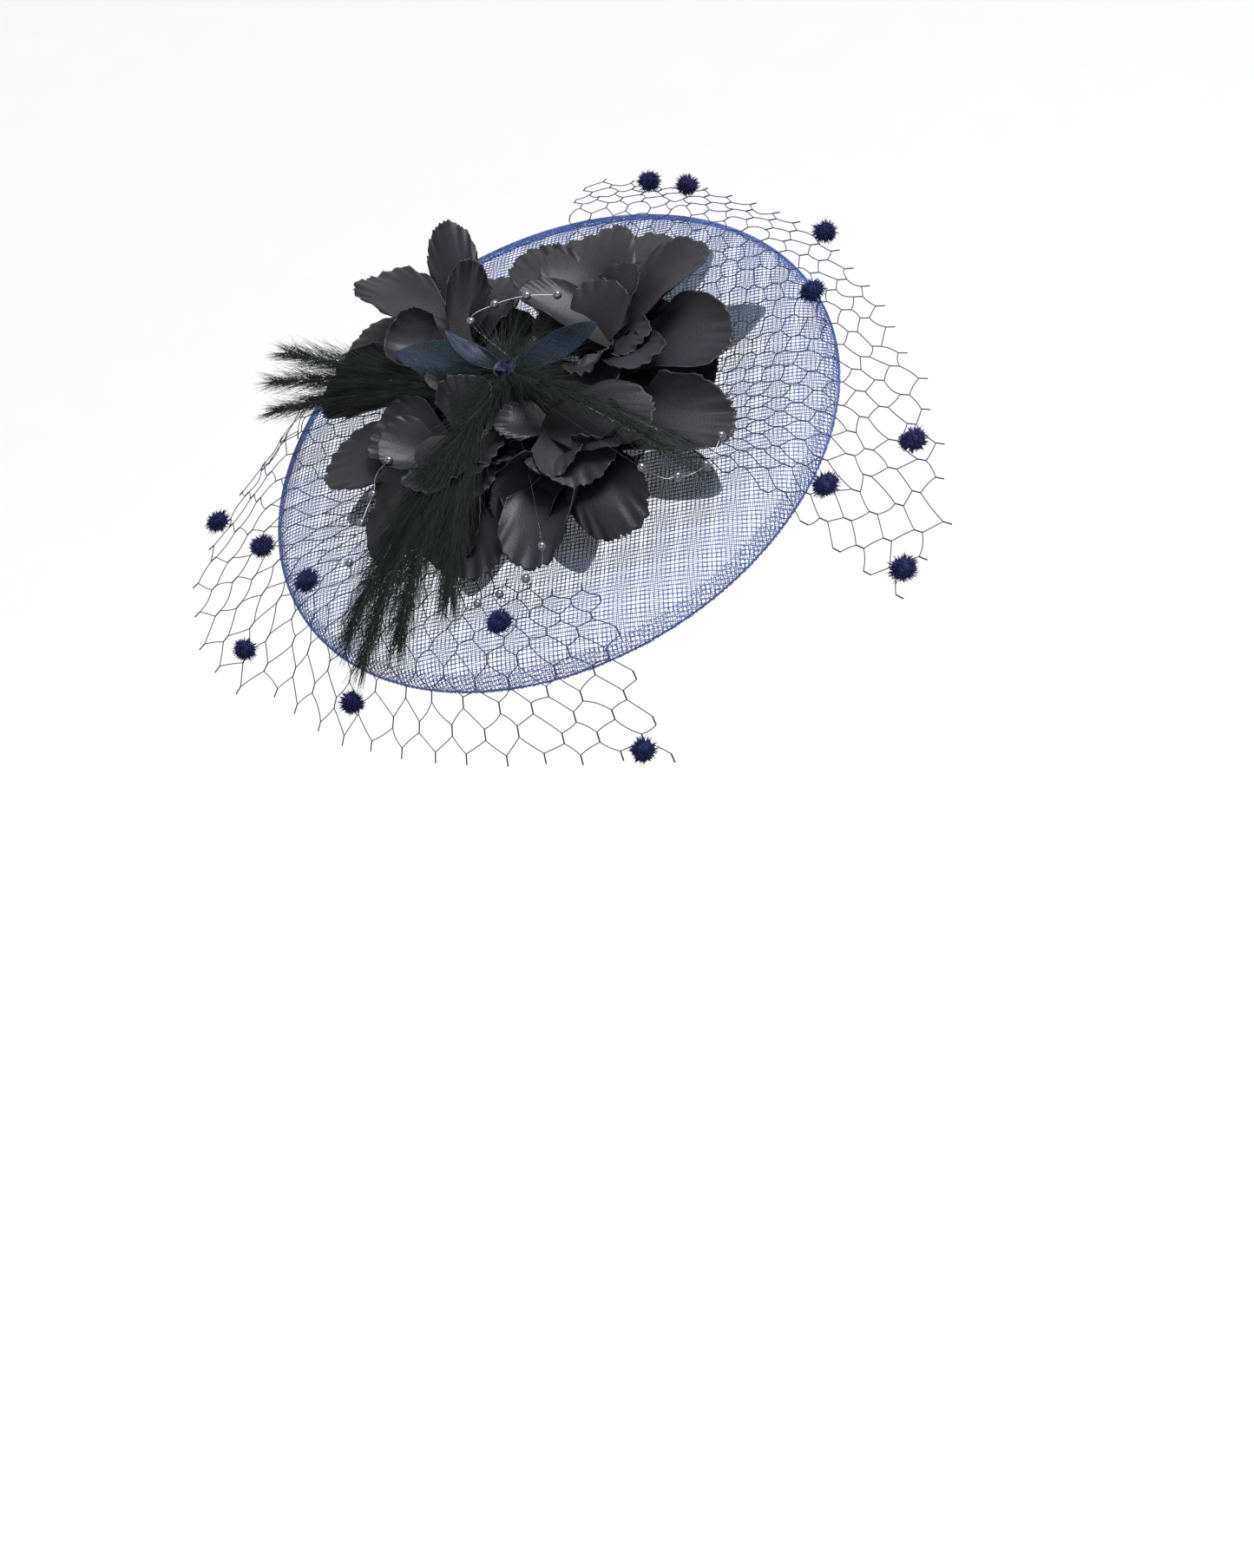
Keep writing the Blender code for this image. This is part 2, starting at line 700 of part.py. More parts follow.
def lattice(fan):
    """The net's knots, its cells and which knot each dot takes. That knot is moved to the dot."""
    rows = sorted(fan.edge)
    first, last = rows[0].azimuth, rows[-1].azimuth
    knots = {}
    for row in range(VEIL_ROWS + 1):
        for column in range(VEIL_COLUMNS + 1):
            turn = (column + 0.5 * (row % 2)) / (VEIL_COLUMNS + 0.5)
            azimuth = first + (last - first) * turn
            inner, outer = edge_at(fan, azimuth)
            knots[(column, row)] = (azimuth, inner + (outer - inner) * row / VEIL_ROWS)
    cells = []
    for row in range(VEIL_ROWS - 1):
        for column in range(VEIL_COLUMNS + 1):
            left = column - 1 + (row % 2)
            cell = ((column, row), (left, row + 1), (column, row + 2), (left + 1, row + 1))
            if all(key in knots for key in cell):
                cells.append(cell)
    tied = {key for cell in cells for key in cell}
    taken = {}
    for number, dot in enumerate(fan.dots):
        here = spot(dot.azimuth, dot.reach * VEIL_REACH, 0)
        free = sorted(tied - set(taken))
        nearest = min(free, key=lambda key: (spot(*knots[key], 0) - here).length)
        taken[nearest] = number
        knots[nearest] = (dot.azimuth, dot.reach * VEIL_REACH)
    return knots, cells, taken


def make_fan(fan, shown, material):
    """A fan of net: diamond cells whose edges a Wireframe modifier turns into strands."""
    knots, cells, _ = lattice(fan)
    work = bmesh.new()
    tied = sorted({key for cell in cells for key in cell})
    places = {key: work.verts.new(veil_point(fan, *knots[key])) for key in tied}
    for cell in cells:
        work.faces.new([places[key] for key in cell])
    bmesh.ops.recalc_face_normals(work, faces=work.faces)
    mesh = bpy.data.meshes.new(fan.name)
    work.to_mesh(mesh)
    work.free()
    net = object_from(mesh, fan.name, shown, material)
    strands = net.modifiers.new("strands", "WIREFRAME")
    strands.thickness = VEIL_STRAND
    strands.use_boundary = True
    strands.use_replace = True
    strands.use_even_offset = False
    return net


def make_dots(fan, shown, material):
    """Flattened chenille dots that sit on the net's knots."""
    knots, _, taken = lattice(fan)
    for key, number in taken.items():
        azimuth, radius = knots[key]
        point = veil_point(fan, azimuth, radius)
        across = veil_point(fan, azimuth + 2, radius) - point
        along = veil_point(fan, azimuth, radius - 0.003) - point
        normal = along.cross(across).normalized()
        if normal.z < 0:
            normal = -normal
        turn = Vector((0, 0, 1)).rotation_difference(normal)
        name = f"{fan.name}_dot_{number + 1}"
        dot = object_from(ball(DOT_RADIUS, DOT_HEIGHT / 2, 8, 4), name, shown, material)
        dot.location = point + normal * (VEIL_STRAND * 0.75 + GAP + DOT_HEIGHT / 2)
        dot.rotation_mode = "QUATERNION"
        dot.rotation_quaternion = turn


def main():
    clear_scene()
    shown = new_collection("hatinator")
    hidden = new_collection("helpers", shown=False)
    finishes = (CRIN, SATIN, ORGANZA, PLUME, PEARL, NETTING, CHENILLE, COMB_PLASTIC)
    materials = {finish.name: make_material(finish) for finish in finishes}
    make_brim(shown, materials[CRIN.name])
    make_comb(shown, hidden, materials[COMB_PLASTIC.name])
    make_underlay(shown, hidden, materials[ORGANZA.name])
    make_heart(shown, hidden, materials[ORGANZA.name])
    for bloom in BLOOMS:
        make_bloom(bloom, shown, hidden, materials[SATIN.name])
    for feather in FEATHERS:
        make_feather(feather, shown, hidden, materials[PLUME.name])
    for spray in SPRAYS:
        make_spray(spray, shown, hidden, materials[PEARL.name])
    for fan in FANS:
        make_fan(fan, shown, materials[NETTING.name])
        make_dots(fan, shown, materials[CHENILLE.name])
    bpy.context.view_layer.update()


main()
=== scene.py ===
"""The looks of the hatinator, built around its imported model.

Metres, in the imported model's frame: +Z up out of the brim, -Y towards the wearer's front.
Azimuths are in degrees: 0 is the wearer's front, and they grow towards the wearer's left.
"""

import math
from collections import namedtuple

import bpy
import numpy as np
from mathutils import Matrix, Vector


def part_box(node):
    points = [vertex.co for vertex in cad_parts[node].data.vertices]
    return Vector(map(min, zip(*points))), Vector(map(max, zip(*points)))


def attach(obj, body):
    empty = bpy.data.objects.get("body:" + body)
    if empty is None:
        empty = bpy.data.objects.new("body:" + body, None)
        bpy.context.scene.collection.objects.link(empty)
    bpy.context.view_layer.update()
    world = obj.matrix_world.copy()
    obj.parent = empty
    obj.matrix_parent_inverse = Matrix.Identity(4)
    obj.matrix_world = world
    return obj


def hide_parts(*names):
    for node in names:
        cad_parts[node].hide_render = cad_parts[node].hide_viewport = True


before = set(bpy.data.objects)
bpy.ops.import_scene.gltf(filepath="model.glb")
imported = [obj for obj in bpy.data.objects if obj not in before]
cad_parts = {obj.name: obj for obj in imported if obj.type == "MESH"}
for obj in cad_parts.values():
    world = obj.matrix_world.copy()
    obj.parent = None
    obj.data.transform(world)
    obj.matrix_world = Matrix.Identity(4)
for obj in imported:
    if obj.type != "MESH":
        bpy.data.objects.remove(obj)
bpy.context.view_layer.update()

# Brim, as in the model
BRIM_RADIUS = 0.125
BRIM_WALL = 0.0012
BRIM_DROP = 0.010
BRIM_SHOULDER = 0.026

# Crin cloth of the brim, which the model leaves to this script
CRIN_PITCH = 0.0018
CRIN_THREAD = 0.00015
CRIN_SLANT = 38
CRIN_STEPS = 46
PLY_TURN = 7
PLY_APART = 0.0007
HEM_PITCH = 0.0016
HEM_DEPTH = 0.008
HEM_TURN = 22
HEM_STEPS = 24
RIM_WIRE = 0.0004
RIM_STEPS = 180

# Flowers, as in the model
FLOWER_REACH = 0.100
FLOWER_HEIGHT = 0.050
CALYX_RADIUS = 0.014
CALYX_HEIGHT = 0.022
CALYX_BOTTOM = 0.0028
PETAL_WIDTH = 0.038
PETAL_WALL = 0.0005
ORGANZA_WIDTH = 0.030
ORGANZA_WALL = 0.00025
UNDERLAY_RADIUS = 0.056
UNDERLAY_MIDDLE = 0.0020
HEART_RADIUS = 0.005
HEART_BOTTOM = 0.0028
HEART_HEIGHT = 0.034

# Detail of the petals and leaves: rows and columns of their sheets, and depths of their creases
PETAL_GRID = (20, 57)
LEAF_GRID = (18, 25)
CALYX_GRID = (8, 24)
DISC_GRID = (8, 60)
POST_GRID = (10, 20)
CREASE_DEPTH = 0.0009
PLEAT_DEPTH = 0.0007
SWELL_DEPTH = 0.0014
CALYX_FLUTE = 0.0006
LEAF_CRIMP = 0.35
UNDERLAY_BOW = 0.03
HEART_BOW = -0.10
INNER_PETALS = 7
INNER_REACH = (0.020, 0.026)
INNER_CLIMB = (0.012, 0.018)

# Feathers, down and sprays
LOCK_STEPS = 26
SHAFT_BARBS = 200
BARB_STEPS = 5
BARB_RADIUS = 0.00010
QUILL_RADIUS = 0.0003
FILAMENT_RADIUS = 0.00015
FILAMENT_DRIFT = 0.004
DOWN_COUNT = 2000
DOWN_STEPS = 6
DOWN_DEPTH = 0.014
DOWN_LENGTH = (0.012, 0.032)
NYLON_RADIUS = 0.00013
BEAD_RADIUS = 0.0018

# Veil, as in the model, and then its fine net and dots
VEIL_REACH = 0.190
VEIL_REST = 0.00225
VEIL_ARCH = 0.0055
VEIL_CREST_SETBACK = 0.013
VEIL_TURN_SETBACK = 0.007
FRONT_DROP = 0.020
BACK_DROP = 0.008
NET_STRAND = 0.00024
NET_KNOT = 0.0017
KNOT_SHARE = 1.35
GATHER_SPREAD = 38.0
GATHER_PULL = 0.62
DOT_FIBRES = 700
DOT_FIBRE = 0.00017

# Starts of the random draws
BLOOM_SEED = 10
FEATHER_SEED = 20
FAN_SEED = 30
ORGANZA_SEED = 41
DOT_SEED = 50
DOWN_SEED = 77

Petal = namedtuple("Petal", "azimuth reach height claw rise width cup arch roll")
BACK_PETALS = [
    Petal(153, 0.93, 0.90, 0.30, 0.90, 0.62, 0.16, -0.10, -10),
    Petal(148, 0.62, 0.86, 0.00, 0.95, 0.46, 0.20, -0.08, 34),
    Petal(176, 1.08, 0.62, 0.30, 0.85, 0.74, 0.22, 0.12, 20),
    Petal(-168, 1.02, 0.40, 0.40, 0.60, 0.94, 0.20, 0.06, -4),
    Petal(-150, 0.97, 0.30, 0.40, 0.46, 0.90, 0.14, 0.08, 0),
    Petal(-174, 0.66, 0.64, -0.30, 0.92, 0.70, 0.18, -0.05, -8),
]
RIGHT_PETALS = [
    Petal(129, 0.66, 0.66, 0.10, 0.90, 0.80, 0.24, 0.06, 6),
    Petal(108, 0.78, 0.66, 0.20, 0.85, 1.06, 0.26, 0.08, 0),
    Petal(98, 0.96, 0.30, 0.50, 0.45, 0.80, 0.14, 0.10, 0),
    Petal(70, 0.95, 0.62, 0.30, 0.82, 0.98, 0.16, 0.06, -14),
    Petal(41, 0.93, 0.38, 0.40, 0.52, 0.98, 0.14, 0.12, 4),
    Petal(78, 0.54, 0.80, -0.50, 0.96, 0.66, 0.20, -0.04, 10),
    Petal(28, 0.66, 0.66, 0.10, 0.90, 0.66, 0.18, 0.04, -12),
    Petal(120, 0.36, 0.86, -0.70, 0.97, 0.60, 0.20, 0.04, 16),
]
FRONT_PETALS = [
    Petal(16, 1.04, 0.32, 0.40, 0.66, 0.96, 0.14, 0.10, -4),
    Petal(8, 0.76, 0.62, -1.00, 0.96, 0.90, 0.16, 0.06, 0),
    Petal(-17, 0.74, 0.52, -1.00, 0.88, 0.90, 0.16, 0.06, 0),
    Petal(-16, 0.94, 0.26, 0.40, 0.50, 0.84, 0.14, 0.12, 4),
    Petal(-42, 0.91, 0.22, 0.50, 0.40, 0.90, 0.14, 0.12, 0),
]
LEFT_PETALS = [
    Petal(-131, 0.90, 0.27, 0.40, 0.50, 0.90, 0.14, 0.12, 0),
    Petal(-102, 0.75, 0.36, -0.60, 0.90, 0.86, 0.16, 0.12, -8),
    Petal(-92, 0.90, 0.22, 0.50, 0.40, 0.80, 0.12, 0.10, 0),
    Petal(-66, 0.82, 0.22, 0.50, 0.42, 0.84, 0.12, 0.10, 0),
    Petal(-60, 0.56, 0.50, 0.00, 0.90, 0.66, 0.14, 0.06, 0),
]
# Petals tucked between the blooms, which close the gaps there
TUCKED_PETALS = {
    "bloom_back": [
        Petal(146, 0.82, 0.22, 0.50, 0.45, 0.94, 0.18, 0.10, 6),
        Petal(142, 0.56, 0.44, 0.30, 0.80, 0.80, 0.22, 0.06, -10),
        Petal(-148, 0.60, 0.46, 0.30, 0.80, 0.84, 0.22, 0.06, 8),
    ],
    "bloom_right": [
        Petal(33, 0.80, 0.18, 0.50, 0.45, 0.90, 0.18, 0.10, -6),
        Petal(34, 0.50, 0.50, 0.30, 0.80, 0.70, 0.22, 0.06, 8),
    ],
    "bloom_front": [
        Petal(-60, 0.40, 0.46, 0.30, 0.80, 0.84, 0.22, 0.06, 8),
        Petal(-50, 0.68, 0.26, 0.30, 0.60, 0.84, 0.20, 0.08, -8),
    ],
    "bloom_left": [
        Petal(-57, 0.88, 0.15, 0.50, 0.40, 0.92, 0.16, 0.12, 0),
        Petal(-40, 0.36, 0.50, 0.30, 0.80, 0.74, 0.22, 0.06, -8),
        Petal(-134, 0.62, 0.42, 0.30, 0.80, 0.84, 0.22, 0.06, -8),
    ],
}
Bloom = namedtuple("Bloom", "name azimuth reach petals")
BLOOMS = [
    Bloom("bloom_back", 178, 0.39, BACK_PETALS),
    Bloom("bloom_right", 66, 0.38, RIGHT_PETALS),
    Bloom("bloom_front", -6, 0.37, FRONT_PETALS),
    Bloom("bloom_left", -90, 0.36, LEFT_PETALS),
]

Leaf = namedtuple("Leaf", "azimuth reach height width cup roll")
UNDERLAY_LEAVES = [
    Leaf(-170, 1.08, 0.20, 1.00, 0.08, 0),
    Leaf(-112, 0.88, 0.15, 0.86, 0.08, 0),
    Leaf(-60, 0.92, 0.15, 0.80, 0.08, 0),
    Leaf(-30, 0.94, 0.15, 0.80, 0.08, 0),
    Leaf(4, 1.06, 0.15, 0.96, 0.08, 0),
    Leaf(56, 1.04, 0.20, 1.00, 0.08, 0),
    Leaf(84, 1.02, 0.15, 0.80, 0.08, 0),
    Leaf(126, 0.90, 0.20, 0.96, 0.08, 0),
]
HEART_LEAVES = [
    Leaf(-160, 0.54, 0.76, 0.66, 0.22, -34),
    Leaf(-176, 0.30, 0.90, 0.40, 0.24, 30),
    Leaf(46, 0.43, 0.88, 0.42, 0.20, 40),
]

Station = namedtuple("Station", "azimuth reach height")
Foot = namedtuple("Foot", "azimuth height")
Feather = namedtuple("Feather", "name foot joint crest locks barbs length")
FEATHERS = [
    Feather(
        "feather_left",
        Foot(-140, 0.78),
        Station(-142, 0.30, 0.60),
        0.64,
        [Station(-162, 1.22, 0.54), Station(-156, 1.24, 0.46), Station(-149, 1.18, 0.42)],
        1000,
        0.024,
    ),
    Feather(
        "feather_front",
        Foot(-80, 0.84),
        Station(-76, 0.30, 0.72),
        0.66,
        [
            Station(-84, 1.22, 0.14),
            Station(-78, 1.30, 0.10),
            Station(-72, 1.18, 0.16),
            Station(-62, 0.98, 0.30),
        ],
        1150,
        0.027,
    ),
    Feather(
        "feather_right",
        Foot(-4, 0.97),
        Station(-2, 0.26, 0.82),
        0.84,
        [Station(1, 1.12, 0.60), Station(5, 1.02, 0.66)],
        420,
        0.017,
    ),
]
Spray = namedtuple("Spray", "name foot stations")
SPRAYS = [
    Spray(
        "bead_spray_top",
        Foot(112, 0.98),
        [
            Station(164, 0.22, 0.92),
            Station(135, 0.24, 0.94),
            Station(100, 0.26, 0.98),
            Station(78, 0.33, 0.96),
        ],
    ),
    Spray(
        "bead_spray_left",
        Foot(-110, 0.78),
        [
            Station(-103, 0.59, 0.66),
            Station(-102, 0.72, 0.50),
            Station(-98, 0.83, 0.44),
            Station(-96, 0.97, 0.26),
        ],
    ),
    Spray(
        "bead_spray_front",
        Foot(-40, 0.89),
        [
            Station(-36, 0.90, 0.50),
            Station(-43, 0.94, 0.30),
            Station(-50, 0.97, 0.26),
            Station(-56, 0.98, 0.21),
        ],
    ),
    Spray(
        "bead_spray_right",
        Foot(-32, 0.98),
        [
            Station(-6, 0.92, 0.69),
            Station(-2, 1.03, 0.58),
            Station(4, 1.06, 0.50),
            Station(11, 1.05, 0.54),
        ],
    ),
]

Edge = namedtuple("Edge", "azimuth inner outer")
FRONT_EDGE = [
    Edge(-160, 0.33, 0.123),
    Edge(-142, 0.33, 0.474),
    Edge(-128, 0.33, 0.708),
    Edge(-116, 0.33, 0.708),
    Edge(-106, 0.33, 0.620),
    Edge(-97, 0.33, 0.415),
    Edge(-83, 0.33, 0.415),
    Edge(-65, 0.36, 0.386),
    Edge(-50, 0.44, 0.415),
    Edge(-36, 0.51, 0.562),
    Edge(-28, 0.53, 0.766),
]
BACK_EDGE = [
    Edge(3, 0.50, 1.00),
    Edge(13, 0.40, 1.00),
    Edge(20, 0.36, 0.795),
    Edge(34, 0.34, 0.562),
    Edge(46, 0.33, 0.357),
    Edge(67, 0.33, 0.240),
    Edge(90, 0.33, 0.182),
    Edge(110, 0.33, 0.211),
    Edge(128, 0.33, 0.328),
]
Fan = namedtuple("Fan", "name drop edge gathered columns rows")
FANS = [
    Fan("veil_front", FRONT_DROP, FRONT_EDGE, -105, 22, 9),
    Fan("veil_back", BACK_DROP, BACK_EDGE, 24, 22, 12),
]
DOTS_PER_FAN = 7

# Camera: where the photograph was taken from, and how it was rolled
CAMERA_RIGHT = Vector((0.66082666, -0.65800737, -0.36101859))
CAMERA_UP = Vector((0.7269305, 0.44143805, 0.52602709))
CAMERA_BACK = Vector((-0.18676236, -0.61004815, 0.77003966))
CAMERA_PLACE = Vector((-0.25589, -0.65272, 0.62281))
LENS = 51.8
SENSOR = 36.0

Lamp = namedtuple("Lamp", "name place size power")
LAMPS = [
    Lamp("key_light", (0.75, -0.10, 1.05), 0.6, 54.0),
    Lamp("fill_light", (-0.9, -1.0, 0.8), 0.8, 10.0),
]
FLOOR_HALF = 14.0
FLOOR_HEIGHT = -3.0

# Places of a Mix node's colour sockets, whose names repeat
MIX_SHARE = 0
MIX_FIRST = 6
MIX_SECOND = 7
MIX_RESULT = 2


class Shade:
    """A number, colour or direction on its way through a material's nodes."""

    def __init__(self, finish, socket):
        self.finish = finish
        self.socket = socket

    def __add__(self, other):
        return self.finish.maths("ADD", self, other)

    def __radd__(self, other):
        return self.finish.maths("ADD", other, self)

    def __sub__(self, other):
        return self.finish.maths("SUBTRACT", self, other)

    def __rsub__(self, other):
        return self.finish.maths("SUBTRACT", other, self)

    def __mul__(self, other):
        return self.finish.maths("MULTIPLY", self, other)

    def __rmul__(self, other):
        return self.finish.maths("MULTIPLY", other, self)


class Finish:
    """A material whose nodes are added by expressions and by the node method."""

    def __init__(self, name):
        self.material = bpy.data.materials.new(name)
        self.material.use_nodes = True
        self.tree = self.material.node_tree
        self.surface = self.tree.nodes["Principled BSDF"]

    def plug(self, value, socket):
        """Links a shade to a socket, or sets the socket to a plain value."""
        if isinstance(value, Shade):
            self.tree.links.new(value.socket, socket)
        else:
            socket.default_value = value

    def node(self, kind, settings=None, sockets=None, output=0):
        """A node of any kind: its settings first, then its sockets' values or links."""
        made = self.tree.nodes.new(kind)
        for key, value in (settings or {}).items():
            setattr(made, key, value)
        for key, value in (sockets or {}).items():
            self.plug(value, made.inputs[key])
        return Shade(self, made.outputs[output])

    def maths(self, operation, *values):
        return self.node("ShaderNodeMath", {"operation": operation}, dict(enumerate(values)))

    def noise(self, scale, detail, rough=0.5):
        """Soft random patches, with about scale of them to a metre."""
        place = self.node("ShaderNodeTexCoord", output="Object")
        sockets = {"Vector": place, "Scale": scale, "Detail": detail, "Roughness": rough}
        return self.node("ShaderNodeTexNoise", None, sockets)

    def mark(self, name):
        """A number that a piece carries at each of its points."""
        return self.node("ShaderNodeAttribute", {"attribute_name": name}, output="Fac")

    def between(self, value, low, high):
        """0 where value is at low or less, 1 at high or more, eased between."""
        sockets = {"Value": value, "From Min": low, "From Max": high}
        return self.node("ShaderNodeMapRange", {"interpolation_type": "SMOOTHSTEP"}, sockets)

    def blend(self, share, first, second):
        """A colour that goes from first to second by share."""
        sockets = {MIX_SHARE: share, MIX_FIRST: first, MIX_SECOND: second}
        return self.node("ShaderNodeMix", {"data_type": "RGBA"}, sockets, MIX_RESULT)

    def bump(self, height, depth, strength):
        """Fine relief of the given depth in metres."""
        sockets = {"Height": height, "Distance": depth, "Strength": strength}
        return self.node("ShaderNodeBump", None, sockets)

    def set(self, **sockets):
        """Sets the surface's sockets. Underscores stand for spaces in their names."""
        for name, value in sockets.items():
            self.plug(value, self.surface.inputs[name.replace("_", " ")])
        return self.material


def crin_finish():
    """Blue nylon crin: shiny single threads with slight changes of tone."""
    finish = Finish("navy_crin")
    tone = finish.noise(60.0, 4.0)
    colour = finish.blend(tone, (0.008, 0.031, 0.130, 1), (0.026, 0.080, 0.300, 1))
    return finish.set(
        Base_Color=colour,
        Roughness=0.26 + tone * 0.15,
        Specular_IOR_Level=0.45,
        Coat_Weight=0.15,
        Coat_Roughness=0.15,
    )


def satin_finish():
    """Charcoal satin: fine cross weave, with painted shade that darkens it towards the claw."""
    finish = Finish("charcoal_satin")
    reach = finish.mark("reach")
    patch = finish.noise(45.0, 5.0, 0.6)
    grain = finish.noise(900.0, 2.0, 0.6)
    # Share of the way out from the claw: the painted shade lies at the claw and fades out by this share
    depth = finish.between(reach, 0.05, 0.75)
    cloth = finish.blend(patch, (0.0028, 0.0028, 0.0038, 1), (0.0125, 0.0125, 0.0165, 1))
    # Painted shade: near black at the claw, where the petals close in, and the cloth's own tone further
    # out
    colour = finish.blend(depth, (0.001, 0.001, 0.0014, 1), cloth)
    return finish.set(
        Base_Color=colour,
        Roughness=0.62 - depth * 0.22 + patch * 0.12,
        Specular_IOR_Level=0.13,
        Normal=finish.bump(grain * 0.4 + patch * 1.2, 0.0004, 0.6),
    )


def organza_finish():
    """Sheer navy organza with a fine metallic sparkle."""
    finish = Finish("navy_organza")
    grain = finish.noise(2600.0, 2.0, 0.7)
    sparkle = finish.between(grain, 0.62, 0.74)
    patch = finish.noise(50.0, 3.0)
    cloth = finish.blend(patch, (0.0015, 0.006, 0.015, 1), (0.004, 0.015, 0.034, 1))
    colour = finish.blend(sparkle, cloth, (0.06, 0.15, 0.26, 1))
    return finish.set(
        Base_Color=colour,
        Roughness=0.50 - sparkle * 0.2,
        Specular_IOR_Level=0.25,
        Metallic=0.05 + sparkle * 0.4,
        Alpha=0.62 + sparkle * 0.3,
        Normal=finish.bump(grain, 0.0002, 0.5),
    )


def feather_finish():
    """Black barbs, a little green in the sheen."""
    finish = Finish("black_barbs")
    tone = finish.noise(80.0, 3.0)
    colour = finish.blend(tone, (0.002, 0.003, 0.003, 1), (0.010, 0.012, 0.010, 1))
    return finish.set(Base_Color=colour, Roughness=0.5 + tone * 0.15, Specular_IOR_Level=0.15)


def glint_barb_finish():
    """Pale colour on a few filaments: a painted highlight where black barbs catch the light."""
    finish = Finish("pale_filament")
    tone = finish.noise(200.0, 2.0)
    # Painted highlight: pale colour that stands for light glinting on the barbs
    colour = finish.blend(tone, (0.30, 0.29, 0.24, 1), (0.62, 0.60, 0.50, 1))
    return finish.set(Base_Color=colour, Roughness=0.3 + tone * 0.1)


def net_finish():
    """Dark navy veil thread."""
    finish = Finish("navy_net")
    tone = finish.noise(300.0, 2.0)
    colour = finish.blend(tone, (0.004, 0.006, 0.022, 1), (0.010, 0.016, 0.050, 1))
    return finish.set(Base_Color=colour, Roughness=0.42 + tone * 0.2, Specular_IOR_Level=0.2)


def chenille_finish():
    """Navy chenille pile, with painted shade that darkens its core and the roots of its fibres."""
    finish = Finish("navy_chenille")
    reach = finish.mark("reach")
    tone = finish.noise(700.0, 2.0)
    pile = finish.blend(tone, (0.005, 0.008, 0.032, 1), (0.013, 0.020, 0.078, 1))
    # Painted shade: darker where the mark is low, at the core and the fibres' roots, in among the pile
    colour = finish.blend(reach, (0.003, 0.004, 0.020, 1), pile)
    return finish.set(Base_Color=colour, Roughness=0.75 + tone * 0.2, Specular_IOR_Level=0.1)


def pearl_finish():
    """Gunmetal pearl: a dark lustre under a clear coat."""
    finish = Finish("gunmetal_pearl")
    tone = finish.noise(500.0, 3.0)
    colour = finish.blend(tone, (0.020, 0.020, 0.032, 1), (0.070, 0.068, 0.095, 1))
    return finish.set(
        Base_Color=colour,
        Metallic=0.55,
        Roughness=0.20 + tone * 0.12,
        Coat_Weight=1.0,
        Coat_Roughness=0.05,
    )


def nylon_finish():
    """Clear nylon filament, with a painted highlight that brightens it out by the beads."""
    finish = Finish("clear_nylon")
    reach = finish.mark("reach")
    tone = finish.noise(400.0, 2.0)
    # Painted highlight colour, with a tone that differs at random
    bright = finish.blend(tone, (0.22, 0.23, 0.26, 1), (0.62, 0.63, 0.67, 1))
    # Share of the painted highlight: none near the heart, where the filament stays dark and more
    # see-through, full out by the beads
    share = finish.between(reach, 0.35, 0.70)
    colour = finish.blend(share, (0.02, 0.02, 0.03, 1), bright)
    return finish.set(
        Base_Color=colour, Roughness=0.12 + tone * 0.08, Alpha=0.25 + share * 0.45
    )


def comb_finish():
    """Black moulded comb with faint drag marks."""
    finish = Finish("black_comb")
    drag = finish.noise(700.0, 4.0)
    colour = finish.blend(drag, (0.006, 0.006, 0.007, 1), (0.018, 0.018, 0.020, 1))
    return finish.set(
        Base_Color=colour,
        Roughness=0.22 + drag * 0.2,
        Normal=finish.bump(drag, 0.0001, 0.4),
    )


def floor_finish():
    """Matt white backdrop paper."""
    finish = Finish("white_paper")
    tone = finish.noise(8.0, 3.0)
    colour = finish.blend(tone, (0.90, 0.90, 0.91, 1), (0.93, 0.93, 0.93, 1))
    return finish.set(Base_Color=colour, Roughness=0.9)


def polar(azimuth, radius, height):
    """Points given by azimuth in degrees, distance from the middle and height."""
    angle = np.radians(azimuth)
    parts = np.broadcast_arrays(radius * np.sin(angle), -radius * np.cos(angle), height)
    return np.stack(parts, axis=-1).astype(float)


def round_turns(count):
    """Evenly spaced azimuths once round, without the first one again."""
    return np.linspace(0, 360, count + 1)[:-1]


def flower_spot(azimuth, reach, height):
    """A point in shares of the flowers' reach and height, above the brim."""
    return polar(azimuth, reach * FLOWER_REACH, BRIM_WALL + height * FLOWER_HEIGHT)


def unit(vectors):
    """Vectors of the same direction and of length one."""
    return vectors / np.maximum(np.linalg.norm(vectors, axis=-1, keepdims=True), 1e-12)


def add_piece(name, points, faces, material, slot, node=None, reach=None):
    """A mesh piece that rides with the model and, where a node is named, stands for it."""
    mesh = bpy.data.meshes.new(name)
    mesh.from_pydata(points.reshape(-1, 3).tolist(), [], faces.tolist())
    mesh.update()
    mesh.materials.append(material)
    mesh.polygons.foreach_set("use_smooth", [True] * len(mesh.polygons))
    # The reach marks drive painted shade on the satin and chenille, and a painted highlight on the
    # nylon
    if reach is not None:
        mark = mesh.attributes.new("reach", "FLOAT", "POINT")
        mark.data.foreach_set("value", np.asarray(reach, np.float32).ravel())
    piece = bpy.data.objects.new(name, mesh)
    bpy.context.scene.collection.objects.link(piece)
    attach(piece, "root")
    if node:
        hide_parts(node)
    return piece


def thicken(piece, wall):
    """An even wall on both sides of a sheet."""
    solid = piece.modifiers.new("wall", "SOLIDIFY")
    solid.thickness = wall
    solid.offset = 0.0


def grid_faces(rows, columns, first=0, closed=False):
    """Four-sided faces between the points of a grid, counted from its first point."""
    wide = columns if closed else columns - 1
    low = np.arange(rows - 1)[:, None] * columns
    left = np.arange(wide)[None, :]
    right = (left + 1) % columns
    faces = np.stack([low + left, low + right, low + columns + right, low + columns + left], -1)
    return faces.reshape(-1, 4) + first


